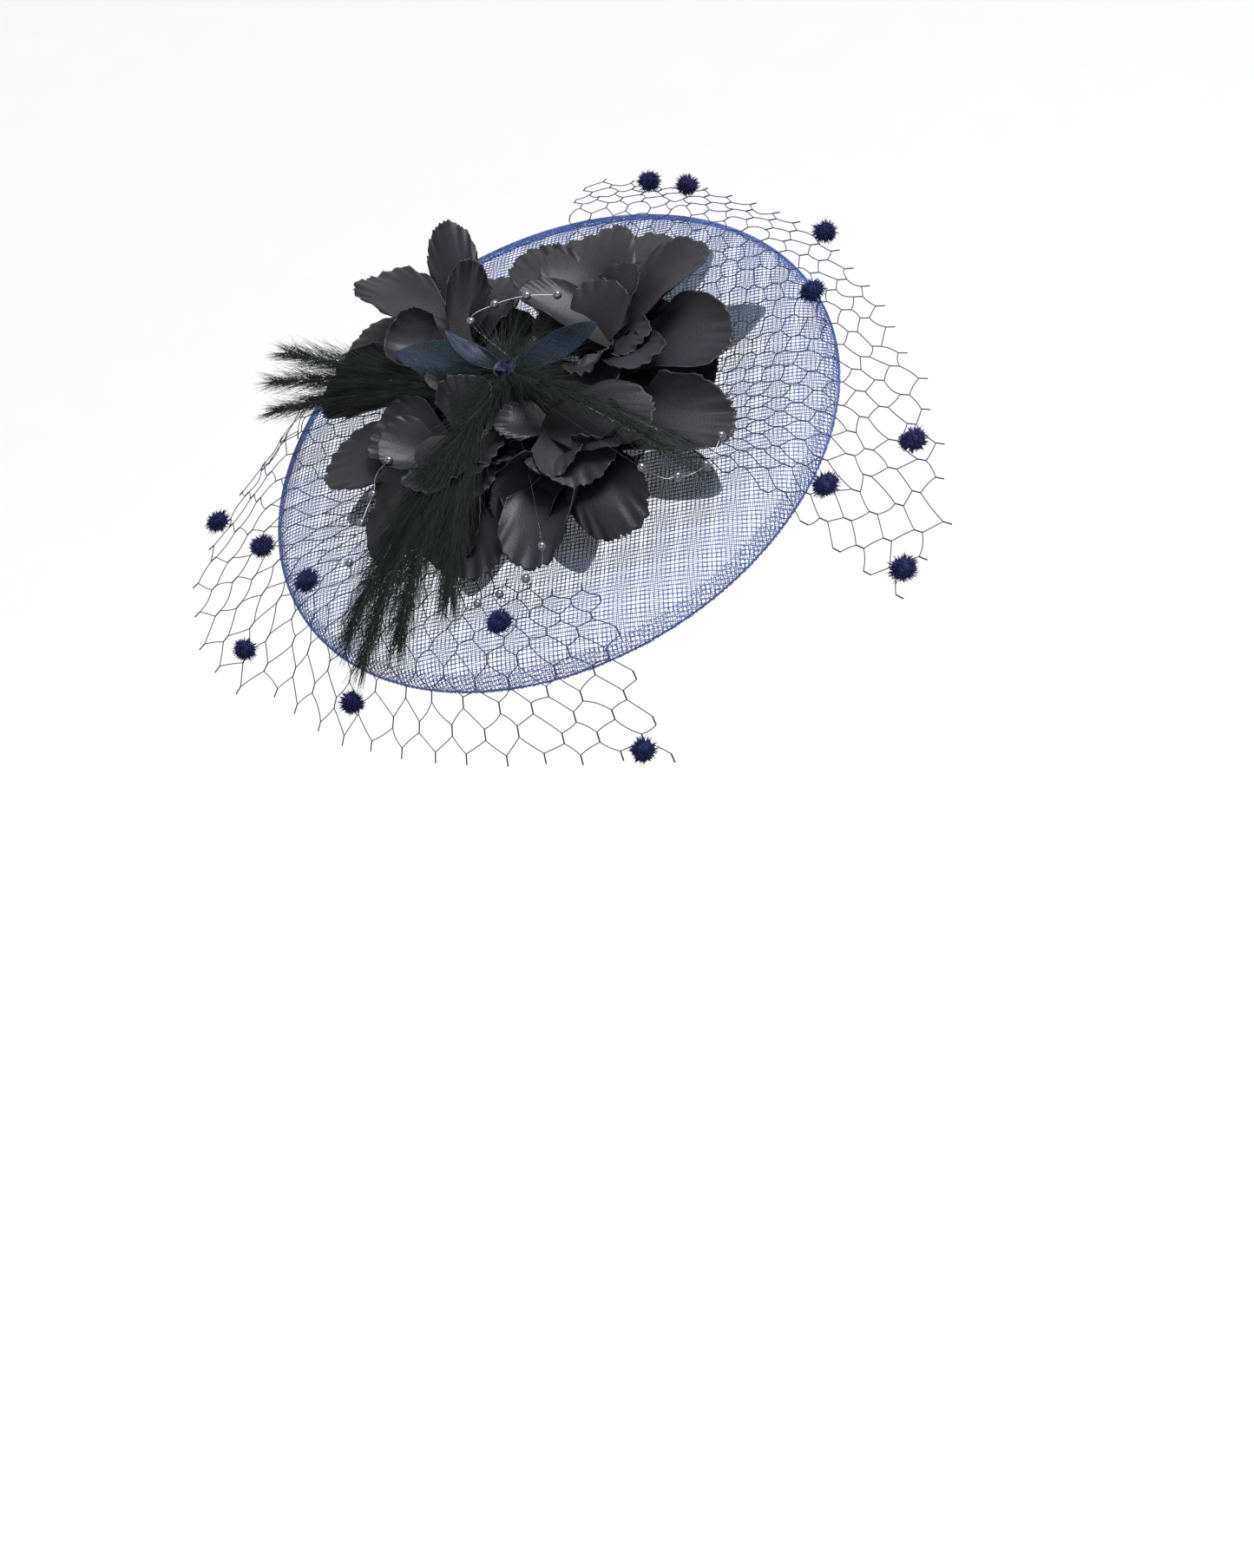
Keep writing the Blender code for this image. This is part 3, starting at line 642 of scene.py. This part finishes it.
def strands(paths, radii, sides=3):
    """Thin tubes along many paths of equally many points: the tubes' points and faces."""
    paths = np.asarray(paths, float)
    count, steps = paths.shape[:2]
    along = unit(np.gradient(paths, axis=1))
    up = np.where(np.abs(along[..., 2:3]) > 0.9, (1.0, 0.0, 0.0), (0.0, 0.0, 1.0))
    side = unit(np.cross(along, up))
    face = np.cross(side, along)
    radii = np.broadcast_to(radii, (count, steps))[..., None, None]
    turn = np.arange(sides) * 2 * math.pi / sides
    ring = side[:, :, None] * np.cos(turn)[:, None] + face[:, :, None] * np.sin(turn)[:, None]
    points = paths[:, :, None] + ring * radii
    faces = grid_faces(steps, sides, closed=True)
    starts = np.arange(count) * steps * sides
    faces = (faces[None] + starts[:, None, None]).reshape(-1, 4)
    return points.reshape(-1, 3), faces


def join_parts(parts):
    """Several sets of points and faces as one set."""
    points = []
    faces = []
    first = 0
    for part_points, part_faces in parts:
        points.append(part_points.reshape(-1, 3))
        faces.append(part_faces + first)
        first += len(points[-1])
    return np.concatenate(points), np.concatenate(faces)


def brim_height(radius):
    """Height of the brim's upper face."""
    share = np.clip((radius - (BRIM_RADIUS - BRIM_SHOULDER)) / BRIM_SHOULDER, 0.0, 1.0)
    return BRIM_WALL - BRIM_DROP * (1 - np.sqrt(1 - share**2.2))


def brim_profile():
    """The brim's middle surface as radius and height against the distance over its cloth."""
    share = np.sin(np.linspace(0, math.pi / 2, 200))
    radius = BRIM_RADIUS * share
    height = brim_height(radius) - BRIM_WALL / 2
    run = np.concatenate([[0.0], np.cumsum(np.hypot(np.diff(radius), np.diff(height)))])
    return run, radius, height


def crin_threads(pitch, slant, lift, steps, inner=0.0):
    """Parallel threads of the brim's cloth, laid flat at a slant and then shaped to the brim.

    Threads leave out the round of radius inner in the middle.
    """
    run, radius, height = brim_profile()
    whole = run[-1]
    offsets = np.arange(-whole + pitch / 2, whole, pitch)
    half = np.sqrt(np.maximum(whole**2 - offsets**2, 0.0))
    places = np.sin(np.linspace(-math.pi / 2, math.pi / 2, steps))
    turn = math.radians(slant)
    paths = []
    for offset, reach in zip(offsets, half):
        if reach < pitch:
            continue
        if abs(offset) >= inner:
            spans = [(-reach, reach)]
        else:
            gap = math.sqrt(inner**2 - offset**2)
            spans = [(-reach, -gap), (gap, reach)]
        for low, high in spans:
            along = (low + high) / 2 + places * (high - low) / 2
            x = offset * math.cos(turn) - along * math.sin(turn)
            y = offset * math.sin(turn) + along * math.cos(turn)
            distance = np.hypot(x, y)
            scale = np.interp(distance, run, radius) / np.maximum(distance, 1e-9)
            z = np.interp(distance, run, height) + lift
            paths.append(np.stack([x * scale, y * scale, z], -1))
    return np.array(paths)


def make_brim():
    """The brim as two plies of crossing threads, with a doubled hem and a bound edge."""
    crin = crin_finish()
    plies = []
    for ply in (0, 1):
        middle = PLY_APART * (0.5 - ply)
        for cross in (0, 1):
            slant = CRIN_SLANT + PLY_TURN * ply + 90 * cross
            lift = middle + CRIN_THREAD * (1 - 2 * cross) * 0.9
            threads = crin_threads(CRIN_PITCH, slant, lift, CRIN_STEPS)
            plies.append(strands(threads, CRIN_THREAD))
    brim = add_piece("brim_crin", *join_parts(plies), crin, "crin", "brim")
    whole = brim_profile()[0][-1]
    inner = whole - HEM_DEPTH
    hem = []
    for cross in (0, 1):
        slant = CRIN_SLANT + HEM_TURN + 90 * cross
        threads = crin_threads(HEM_PITCH, slant, -PLY_APART * 0.8, HEM_STEPS, inner)
        hem.append(strands(threads, CRIN_THREAD))
    turns = np.linspace(0, 360, RIM_STEPS + 1)
    edge = float(brim_height(BRIM_RADIUS)) - BRIM_WALL / 2
    ring = polar(turns, BRIM_RADIUS - RIM_WIRE, edge)[None]
    hem.append(strands(ring, RIM_WIRE, 6))
    band = add_piece("brim_hem", *join_parts(hem), crin, "crin")
    2 * whole
    4 * whole
    2 * math.pi * whole**2


def petal_frame(base, tip, roll):
    """Along, side and face directions of a petal."""
    along = unit(tip - base)
    side = unit(np.cross(along, (0.0, 0.0, 1.0)))
    turn = math.radians(roll)
    side = side * math.cos(turn) + np.cross(along, side) * math.sin(turn)
    return along, side, np.cross(side, along)


def petal_outline(columns):
    """Shares along and across of a petal's rounded edge, from one side of its claw to the other."""
    turn = np.radians(104) * np.linspace(-1, 1, columns)[None, :]
    ahead = np.cos(turn)
    return 0.62 + 0.38 * np.sign(ahead) * np.abs(ahead) ** 0.75, np.sin(turn)


def leaf_outline(columns):
    """Shares along and across of a leaf's pointed edge."""
    turn = np.radians(120) * np.linspace(-1, 1, columns)[None, :]
    ahead = np.cos(turn)
    return 0.50 + 0.50 * ahead, np.sin(turn) * (1 - 0.35 * np.maximum(ahead, 0) ** 2)


def cut_area(outline, length, width):
    """Flat area of a petal or leaf before it was shaped."""
    along, across = outline(181)
    along = np.append(along * length, 0.0)
    across = np.append(across * width / 2, 0.0)
    return abs(np.sum(along * np.roll(across, -1) - np.roll(along, -1) * across)) / 2


def waves(across, rng, low, high, count):
    """A sum of a few sine waves across a petal, about one in size."""
    total = 0.0
    for rate in rng.uniform(low, high, count):
        total = total + rng.uniform(0.4, 1.0) * np.sin(across * rate + rng.uniform(0, 6.28))
    return total / math.sqrt(count)


def petal_points(base, tip, width, cup, arch, roll, rng, outline, grid, crimp=1.0):
    """A petal's sheet: lines fan out from the claw to a rounded edge with crimps and nicks."""
    along, side, face = petal_frame(base, tip, roll)
    length = np.linalg.norm(tip - base)
    rows, columns = grid
    share = 1 - (1 - np.linspace(0, 1, rows)[:, None]) ** 1.35
    across = np.linspace(-1, 1, columns)[None, :]
    edge_along, edge_half = outline(columns)
    nicks = np.abs(waves(across, rng, 20, 60, 6)) * 0.022 + rng.uniform(0, 0.022, (1, columns))
    edge = share * (1 - nicks * crimp * share**6)
    run = edge * edge_along
    half = (1 - edge) * 0.26 * across + edge * edge_half
    creases = waves(across, rng, 4, 10, 3) * share**3
    pleats = waves(across, rng, 20, 36, 3) * np.clip((share - 0.74) / 0.26, 0, 1) ** 1.2
    swell = waves(run * 1.2 + across * 0.7, rng, 2.5, 4.5, 2) * share
    lip = rng.uniform(-0.20, 0.26) * np.clip((share - 0.55) / 0.45, 0, 1) ** 2
    turned = rng.uniform(-0.30, 0.45) * np.maximum(0, half * rng.choice((-1, 1))) ** 3
    lift = (
        arch * length * np.sin(math.pi * run)
        + cup * width / 2 * half**2
        + (creases * CREASE_DEPTH + pleats * PLEAT_DEPTH + swell * SWELL_DEPTH) * crimp
        + (lip + turned * share) * width * 0.5 * crimp
    )
    points = (
        base
        + along * (run * length)[..., None]
        + side * (half * width / 2)[..., None]
        + face * lift[..., None]
    )
    return points, np.broadcast_to(share, (rows, columns)).ravel()


def inner_petals(bloom):
    """Smaller petals that stand in a ring in the middle of a bloom and close it."""
    rng = np.random.default_rng(len(bloom.name) + int(abs(bloom.azimuth)))
    centre = polar(bloom.azimuth, bloom.reach * FLOWER_REACH, CALYX_BOTTOM)
    made = []
    for index in range(INNER_PETALS):
        turn = 360 * index / INNER_PETALS + rng.uniform(-14, 14)
        low = index % 2
        rise = rng.uniform(0.70, 0.85) - 0.35 * low
        claw = centre + polar(turn, CALYX_RADIUS * 0.45, CALYX_HEIGHT * rise)
        reach = rng.uniform(*INNER_REACH) + 0.006 * low
        climb = rng.uniform(*INNER_CLIMB) - 0.011 * low
        tip = claw + polar(turn, reach, climb)
        made.append((claw, tip, rng.uniform(0.55, 0.75) * PETAL_WIDTH, rng.uniform(-20, 20)))
    return made


def make_bloom(bloom, satin, seed):
    """A calyx and its crimped satin petals."""
    rng = np.random.default_rng(seed)
    centre = polar(bloom.azimuth, bloom.reach * FLOWER_REACH, 0.0)
    parts = []
    marks = []
    cuts = []
    shapes = []
    for petal in bloom.petals + TUCKED_PETALS[bloom.name]:
        tip = flower_spot(petal.azimuth, petal.reach, petal.height)
        outward = unit((tip - centre) * (1, 1, 0))
        claw = centre + outward * CALYX_RADIUS * petal.claw
        claw[2] = CALYX_BOTTOM + CALYX_HEIGHT * petal.rise
        width = PETAL_WIDTH * petal.width
        shapes.append((claw, tip, width, petal.cup, petal.arch, petal.roll))
    for claw, tip, width, roll in inner_petals(bloom):
        shapes.append((claw, tip, width, 0.30, 0.06, roll))
    for shape in shapes:
        points, reach = petal_points(*shape, rng, petal_outline, PETAL_GRID)
        parts.append((points, grid_faces(*PETAL_GRID)))
        # Each point's share out from the claw, by which the satin's painted shade fades
        marks.append(reach)
        cuts.append((shape[2], np.linalg.norm(shape[1] - shape[0])))
    points, faces = join_parts(parts)
    petals = add_piece(
        bloom.name + "_petals", points, faces, satin, "satin", bloom.name, np.concatenate(marks)
    )
    thicken(petals, PETAL_WALL)
    turns = round_turns(CALYX_GRID[1])
    levels = np.linspace(0, 1, CALYX_GRID[0])[:, None]
    flute = CALYX_FLUTE * np.sin(np.radians(turns * 7))
    radius = CALYX_RADIUS * (1 - 0.45 * levels**2) + flute
    calyx = centre + polar(turns, radius, CALYX_BOTTOM + 0.0004 + CALYX_HEIGHT * levels * 0.9)
    faces = grid_faces(*CALYX_GRID, closed=True)
    # A reach of nought: the satin paints the whole calyx in its darkest painted shade
    mark = np.zeros(calyx.size // 3)
    cup = add_piece(bloom.name + "_calyx", calyx, faces, satin, "satin", reach=mark)
    thicken(cup, PETAL_WALL)
    sum(cut_area(petal_outline, length, width) for width, length in cuts)


def leaf_parts(leaves, root, bow, rng):
    """Sheer leaves, each from its root: points, faces, marks and flat sizes."""
    parts = []
    marks = []
    cuts = []
    for leaf in leaves:
        base = root(leaf)
        tip = flower_spot(leaf.azimuth, leaf.reach, leaf.height)
        width = ORGANZA_WIDTH * leaf.width * 0.9
        shape = (base, tip, width, leaf.cup, bow, leaf.roll)
        points, reach = petal_points(*shape, rng, leaf_outline, LEAF_GRID, LEAF_CRIMP)
        parts.append((points, grid_faces(*LEAF_GRID)))
        marks.append(reach)
        cuts.append((width, np.linalg.norm(tip - base)))
    return parts, marks, cuts


def add_organza(name, node, parts, marks, cuts, extra_cut, organza):
    """One piece of organza leaves with the round or rolled cut that they are sewn to."""
    points, faces = join_parts(parts)
    piece = add_piece(name, points, faces, organza, "organza", node, np.concatenate(marks))
    thicken(piece, ORGANZA_WALL)
    width, length, area = extra_cut
    area += sum(cut_area(leaf_outline, reach, across) for across, reach in cuts)
    whole = width + sum(across for across, reach in cuts)
    longest = max([length] + [reach for across, reach in cuts])


def make_organza():
    """The underlay on the brim and the folded leaves at the heart."""
    organza = organza_finish()
    rng = np.random.default_rng(ORGANZA_SEED)

    def at_rim(leaf):
        return polar(leaf.azimuth, UNDERLAY_RADIUS * 0.93, UNDERLAY_MIDDLE)

    parts, marks, cuts = leaf_parts(UNDERLAY_LEAVES, at_rim, UNDERLAY_BOW, rng)
    rings = np.linspace(0.02, 1, DISC_GRID[0])[:, None]
    disc = polar(round_turns(DISC_GRID[1]), UNDERLAY_RADIUS * rings, UNDERLAY_MIDDLE)
    parts.append((disc, grid_faces(*DISC_GRID, closed=True)))
    marks.append(np.ones(disc.size // 3))
    across = 2 * UNDERLAY_RADIUS
    disc_cut = (across, across, math.pi * UNDERLAY_RADIUS**2)
    add_organza(
        "organza_underlay_leaves", "organza_underlay", parts, marks, cuts, disc_cut, organza
    )

    def at_top(leaf):
        return np.array([0.0, 0.0, HEART_BOTTOM + HEART_HEIGHT - 0.002])

    parts, marks, cuts = leaf_parts(HEART_LEAVES, at_top, HEART_BOW, rng)
    levels = np.linspace(0, 1, POST_GRID[0])[:, None]
    radius = HEART_RADIUS * (1 - 0.25 * np.sin(levels * 9) ** 2)
    post = polar(round_turns(POST_GRID[1]), radius, HEART_BOTTOM + HEART_HEIGHT * levels)
    parts.append((post, grid_faces(*POST_GRID, closed=True)))
    marks.append(np.ones(post.size // 3))
    around = 2 * math.pi * HEART_RADIUS
    post_cut = (around, HEART_HEIGHT, around * HEART_HEIGHT)
    add_organza("organza_heart_leaves", "organza_heart", parts, marks, cuts, post_cut, organza)


def bowed_line(start, crest, finish, steps):
    """Points on a smooth arc that is pulled towards crest."""
    t = np.linspace(0, 1, steps)[:, None]
    return start * (1 - t) ** 2 + crest * 2 * t * (1 - t) + finish * t**2


def smooth_line(places, steps):
    """Points on a smooth line through all the places."""
    places = np.array(places)
    points = [places[:1]]
    last = len(places) - 1
    t = np.linspace(0, 1, steps + 1)[1:, None]
    for index in range(last):
        before, beyond = places[max(index - 1, 0)], places[min(index + 2, last)]
        here, there = places[index], places[index + 1]
        pull = (there - before) * (t - 2 * t**2 + t**3) + (beyond - here) * (t**3 - t**2)
        blend = t * t * (3 - 2 * t)
        points.append(here * (1 - blend) + there * blend + pull * 0.5)
    return np.concatenate(points)


def bound_to_heart(foot, clearance):
    """The first point of a stem that is bound to the heart's post."""
    height = HEART_BOTTOM + foot.height * HEART_HEIGHT
    return polar(foot.azimuth, HEART_RADIUS + clearance, height)


def barbs(path, count, length, rng, spread=0.5):
    """Fine barbs that leave both sides of a quill and sweep towards its tip."""
    where = rng.uniform(0.03, 0.985, count)
    index = where * (len(path) - 1)
    low = np.minimum(index.astype(int), len(path) - 2)
    share = (index - low)[:, None]
    roots = path[low] * (1 - share) + path[low + 1] * share
    along = unit(path[low + 1] - path[low])
    side = unit(np.cross(along, (0.0, 0.0, 1.0)))
    face = np.cross(side, along)
    sign = np.where(rng.uniform(size=count) < 0.5, -1.0, 1.0)[:, None]
    out = unit(side * sign + face * rng.normal(0, 0.35, (count, 1)))
    reach = length * rng.uniform(0.6, 1.2, (count, 1, 1)) * (1 - 0.6 * where[:, None, None] ** 2)
    t = np.linspace(0, 1, BARB_STEPS)[None, :, None]
    angle = spread * rng.uniform(0.35, 1.25, (count, 1, 1))
    run = along[:, None] * (np.cos(angle) * t + 0.15 * t**2)
    fan = out[:, None] * np.sin(angle) * (t - 0.30 * t**2)
    stray = rng.normal(0, 0.07, (count, 1, 3)) * t**2
    paths = roots[:, None] + (run + fan + stray) * reach
    taper = BARB_RADIUS * np.linspace(1.0, 0.4, BARB_STEPS)[None]
    return strands(paths, taper)


def make_feather(feather, plume, pale, seed):
    """Locks of fine barbs on their quills, and a few pale filaments that carry a painted highlight."""
    rng = np.random.default_rng(seed)
    start = bound_to_heart(feather.foot, 0.0003)
    joint = flower_spot(*feather.joint)
    root = start * 0.4 + joint * 0.6
    quills = [np.linspace(start, joint, LOCK_STEPS)]
    parts = [barbs(quills[0], SHAFT_BARBS, feather.length * 0.8, rng, 0.8)]
    glint_paths = []
    for lock in feather.locks:
        tip = flower_spot(*lock)
        crest = joint * 0.55 + tip * 0.45
        crest[2] = BRIM_WALL + feather.crest * FLOWER_HEIGHT
        path = bowed_line(root, crest, tip, LOCK_STEPS)
        quills.append(path)
        parts.append(barbs(path, feather.barbs, feather.length, rng))
        drift = rng.normal(0, FILAMENT_DRIFT, 3) * np.linspace(0, 1, LOCK_STEPS)[:, None] ** 2
        glint_paths.append((path + drift)[LOCK_STEPS // 3 : LOCK_STEPS - 3])
    taper = QUILL_RADIUS * np.linspace(1.0, 0.25, LOCK_STEPS)[None]
    parts.append(strands(np.array(quills), taper, 5))
    add_piece(feather.name + "_barbs", *join_parts(parts), plume, "feather", feather.name)
    # Two filaments whose pale finish is a painted highlight
    shown = np.array(glint_paths)[:2]
    thin = FILAMENT_RADIUS * np.linspace(1.0, 0.4, shown.shape[1])[None]
    add_piece(feather.name + "_filaments", *strands(shown, thin, 4), pale, "feather")


def make_heart_down(plume):
    """Loose down round the heart, where the stems are bound together."""
    rng = np.random.default_rng(DOWN_SEED)
    count = DOWN_COUNT
    turn = rng.uniform(0, 360, count)
    top = HEART_BOTTOM + HEART_HEIGHT
    start = polar(turn, HEART_RADIUS * 0.9, top - rng.uniform(0.0, DOWN_DEPTH, count))
    climb = rng.uniform(-0.35, 0.75, count)
    heading = polar(turn + rng.normal(0, 20, count), np.cos(climb), np.sin(climb))
    t = np.linspace(0, 1, DOWN_STEPS)[None, :, None]
    length = rng.uniform(*DOWN_LENGTH, (count, 1, 1))
    stray = rng.normal(0, 0.16, (count, 1, 3)) * t**2
    droop = np.array((0.0, 0.0, -0.35)) * t**2
    paths = start[:, None] + (heading[:, None] * t + stray + droop) * length
    taper = BARB_RADIUS * np.linspace(1.0, 0.4, DOWN_STEPS)[None]
    add_piece("heart_down", *strands(paths, taper), plume, "feather")


def ball(centre, radius, sides=20, bands=12):
    """A round bead: its points and faces."""
    tilt = np.linspace(0.02, math.pi - 0.02, bands)[:, None]
    shell = polar(round_turns(sides), radius * np.sin(tilt), -radius * np.cos(tilt))
    return shell + centre, grid_faces(bands, sides, closed=True)


def make_spray(spray, pearl, nylon):
    """Beads on a clear nylon stem."""
    places = [flower_spot(*station) for station in spray.stations]
    path = smooth_line([bound_to_heart(spray.foot, 0.0005)] + places, 12)
    # Share along the stem, which places the nylon's painted highlight out by the beads
    reach = np.repeat(np.linspace(0, 1, len(path)) * 1.6, 6)
    beads = join_parts([ball(place, BEAD_RADIUS) for place in places])
    add_piece(spray.name + "_beads", *beads, pearl, "pearl", spray.name)
    stem = strands(path[None], NYLON_RADIUS, 6)
    add_piece(spray.name + "_nylon", *stem, nylon, "pearl", reach=reach)


def edge_at(fan, azimuth):
    """Inner and outer radius of a fan at azimuths, eased between the rows of its table."""
    rows = fan.edge
    places = np.array([row.azimuth for row in rows], float)
    azimuth = np.clip(azimuth, places[0], places[-1])
    low = np.clip(np.searchsorted(places, azimuth) - 1, 0, len(rows) - 2)
    share = (azimuth - places[low]) / (places[low + 1] - places[low])
    eased = share * share * (3 - 2 * share)
    inner = np.array([row.inner for row in rows]) * VEIL_REACH
    past_rim = np.array([row.outer for row in rows]) * (VEIL_REACH - BRIM_RADIUS)
    outer = BRIM_RADIUS + past_rim
    return (
        inner[low] + (inner[low + 1] - inner[low]) * eased,
        outer[low] + (outer[low + 1] - outer[low]) * eased,
    )


def veil_surface(fan, azimuth, radius):
    """Points of the net: low at the flowers, arched over the brim, then dropping."""
    outer = edge_at(fan, azimuth)[1]
    crest = BRIM_RADIUS - VEIL_CREST_SETBACK
    turn = BRIM_RADIUS - VEIL_TURN_SETBACK
    across = (radius - crest) / VEIL_CREST_SETBACK / 2
    arch = VEIL_ARCH * np.exp(-across * across)
    beyond = np.maximum(0.0, (radius - turn) / (outer - turn))
    return polar(azimuth, radius, VEIL_REST + arch - fan.drop * beyond**1.2)


def make_fan(fan, netting, seed):
    """Fine veil net: strands that run from knot to knot, and short doubled knots."""
    rng = np.random.default_rng(seed)
    first, last = fan.edge[0].azimuth, fan.edge[-1].azimuth
    row, column = np.meshgrid(np.arange(fan.rows + 1), np.arange(fan.columns + 1), indexing="ij")
    azimuth = first + (last - first) * (column + 0.5 * (row % 2)) / (fan.columns + 0.5)
    azimuth = azimuth + rng.normal(0, 0.30, azimuth.shape)
    share = row / fan.rows
    away = fan.gathered - azimuth
    azimuth = azimuth + away * GATHER_PULL * (1 - share) ** 1.5 * np.exp(-((away / GATHER_SPREAD) ** 2))
    inner, outer = edge_at(fan, azimuth)
    share = share + rng.normal(0, 0.006, share.shape) * (row > 0)
    radius = inner + (outer - inner) * share
    knot = np.minimum(NET_KNOT, (outer - inner) / fan.rows * 0.3)
    low = veil_surface(fan, azimuth, radius - knot)
    high = veil_surface(fan, azimuth, radius + knot)
    paths = []
    for r in range(fan.rows):
        shift = r % 2
        for c in range(fan.columns + 1):
            for step in (shift - 1, shift):
                there = c + step
                if 0 <= there <= fan.columns:
                    start, finish = high[r, c], low[r + 1, there]
                    sway = rng.normal(0, 0.0004, 3)
                    t = np.linspace(0, 1, 5)[:, None]
                    path = start * (1 - t) + finish * t + sway * np.sin(math.pi * t)
                    paths.append(path)
    threads = strands(np.array(paths), NET_STRAND)
    knots = np.stack([low, high], axis=2).reshape(-1, 2, 3)
    ties = strands(knots, NET_STRAND * KNOT_SHARE, 4)
    add_piece(fan.name + "_net", *join_parts([threads, ties]), netting, "net", fan.name)


def make_dot(name, chenille, seed):
    """A fuzzy chenille dot where the model's dot is."""
    rng = np.random.default_rng(seed)
    low, high = (np.array(corner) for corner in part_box(name))
    centre = (low + high) / 2
    size = (high - low) / 2
    core, faces = ball(np.zeros(3), 1.0, 18, 10)
    lumps = sum(
        rng.uniform(0.03, 0.07) * np.sin(core @ rng.normal(0, 4, 3) + rng.uniform(0, 6.28))
        for _ in range(6)
    )
    core = centre + core * (0.86 + lumps)[..., None] * size
    heading = unit(rng.normal(size=(DOT_FIBRES, 3)))
    reach = rng.uniform(0.92, 1.22, (DOT_FIBRES, 1, 1))
    t = np.array([0.62, 0.85, 1.0])[None, :, None]
    bend = rng.normal(0, 0.16, (DOT_FIBRES, 1, 3)) * t**2
    paths = centre + (heading[:, None] * t * reach + bend) * size
    points, threads = strands(paths, DOT_FIBRE * np.array([1.0, 0.9, 0.5])[None])
    # Marks of the chenille's painted shade: low at the core and the fibres' roots, full at their tips
    mark = [np.full(core.size // 3, 0.25), np.tile(np.repeat((0.2, 0.7, 1.0), 3), DOT_FIBRES)]
    points, faces = join_parts([(core, faces), (points, threads)])
    mark = np.concatenate(mark)
    add_piece(name + "_pile", points, faces, chenille, "chenille", name, mark)


def light_studio():
    """A bright, soft studio: white paper floor, large soft lights and a pale world."""
    world = bpy.data.worlds.new("studio")
    bpy.context.scene.world = world
    world.use_nodes = True
    background = world.node_tree.nodes["Background"]
    background.inputs["Color"].default_value = (1.0, 1.0, 1.0, 1.0)
    background.inputs["Strength"].default_value = 1.0
    for lamp in LAMPS:
        data = bpy.data.lights.new(lamp.name, "AREA")
        data.size = lamp.size
        data.energy = lamp.power
        light = bpy.data.objects.new(lamp.name, data)
        bpy.context.scene.collection.objects.link(light)
        light.location = lamp.place
        light.rotation_euler = Vector(lamp.place).to_track_quat("Z", "Y").to_euler()
    corners = [(-1, -1), (1, -1), (1, 1), (-1, 1)]
    points = [(x * FLOOR_HALF, y * FLOOR_HALF, FLOOR_HEIGHT) for x, y in corners]
    mesh = bpy.data.meshes.new("floor")
    mesh.from_pydata(points, [], [(0, 1, 2, 3)])
    mesh.materials.append(floor_finish())
    floor = bpy.data.objects.new("floor", mesh)
    bpy.context.scene.collection.objects.link(floor)


def set_camera():
    """The photograph's viewpoint, with its roll."""
    data = bpy.data.cameras.new("camera")
    data.sensor_fit = "VERTICAL"
    data.sensor_height = SENSOR
    data.lens = LENS
    camera = bpy.data.objects.new("camera", data)
    bpy.context.scene.collection.objects.link(camera)
    turn = Matrix((CAMERA_RIGHT, CAMERA_UP, CAMERA_BACK)).transposed().to_4x4()
    camera.matrix_world = Matrix.Translation(CAMERA_PLACE) @ turn
    bpy.context.scene.camera = camera


def main():
    """Sets the camera and lights, and makes every piece."""
    bpy.context.scene.view_settings.view_transform = "Standard"
    set_camera()
    light_studio()
    make_brim()
    make_organza()
    satin = satin_finish()
    for number, bloom in enumerate(BLOOMS):
        make_bloom(bloom, satin, BLOOM_SEED + number)
    # The pale finish is a painted highlight on a few filaments
    plume, pale = feather_finish(), glint_barb_finish()
    make_heart_down(plume)
    for number, feather in enumerate(FEATHERS):
        make_feather(feather, plume, pale, FEATHER_SEED + number)
    pearl, nylon = pearl_finish(), nylon_finish()
    for spray in SPRAYS:
        make_spray(spray, pearl, nylon)
    netting, chenille = net_finish(), chenille_finish()
    for number, fan in enumerate(FANS):
        make_fan(fan, netting, FAN_SEED + number)
        for dot in range(DOTS_PER_FAN):
            seed = DOT_SEED + 10 * number + dot
            make_dot(f"{fan.name}_dot_{dot + 1}", chenille, seed)
    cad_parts["comb"].data.materials.clear()
    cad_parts["comb"].data.materials.append(comb_finish())


main()
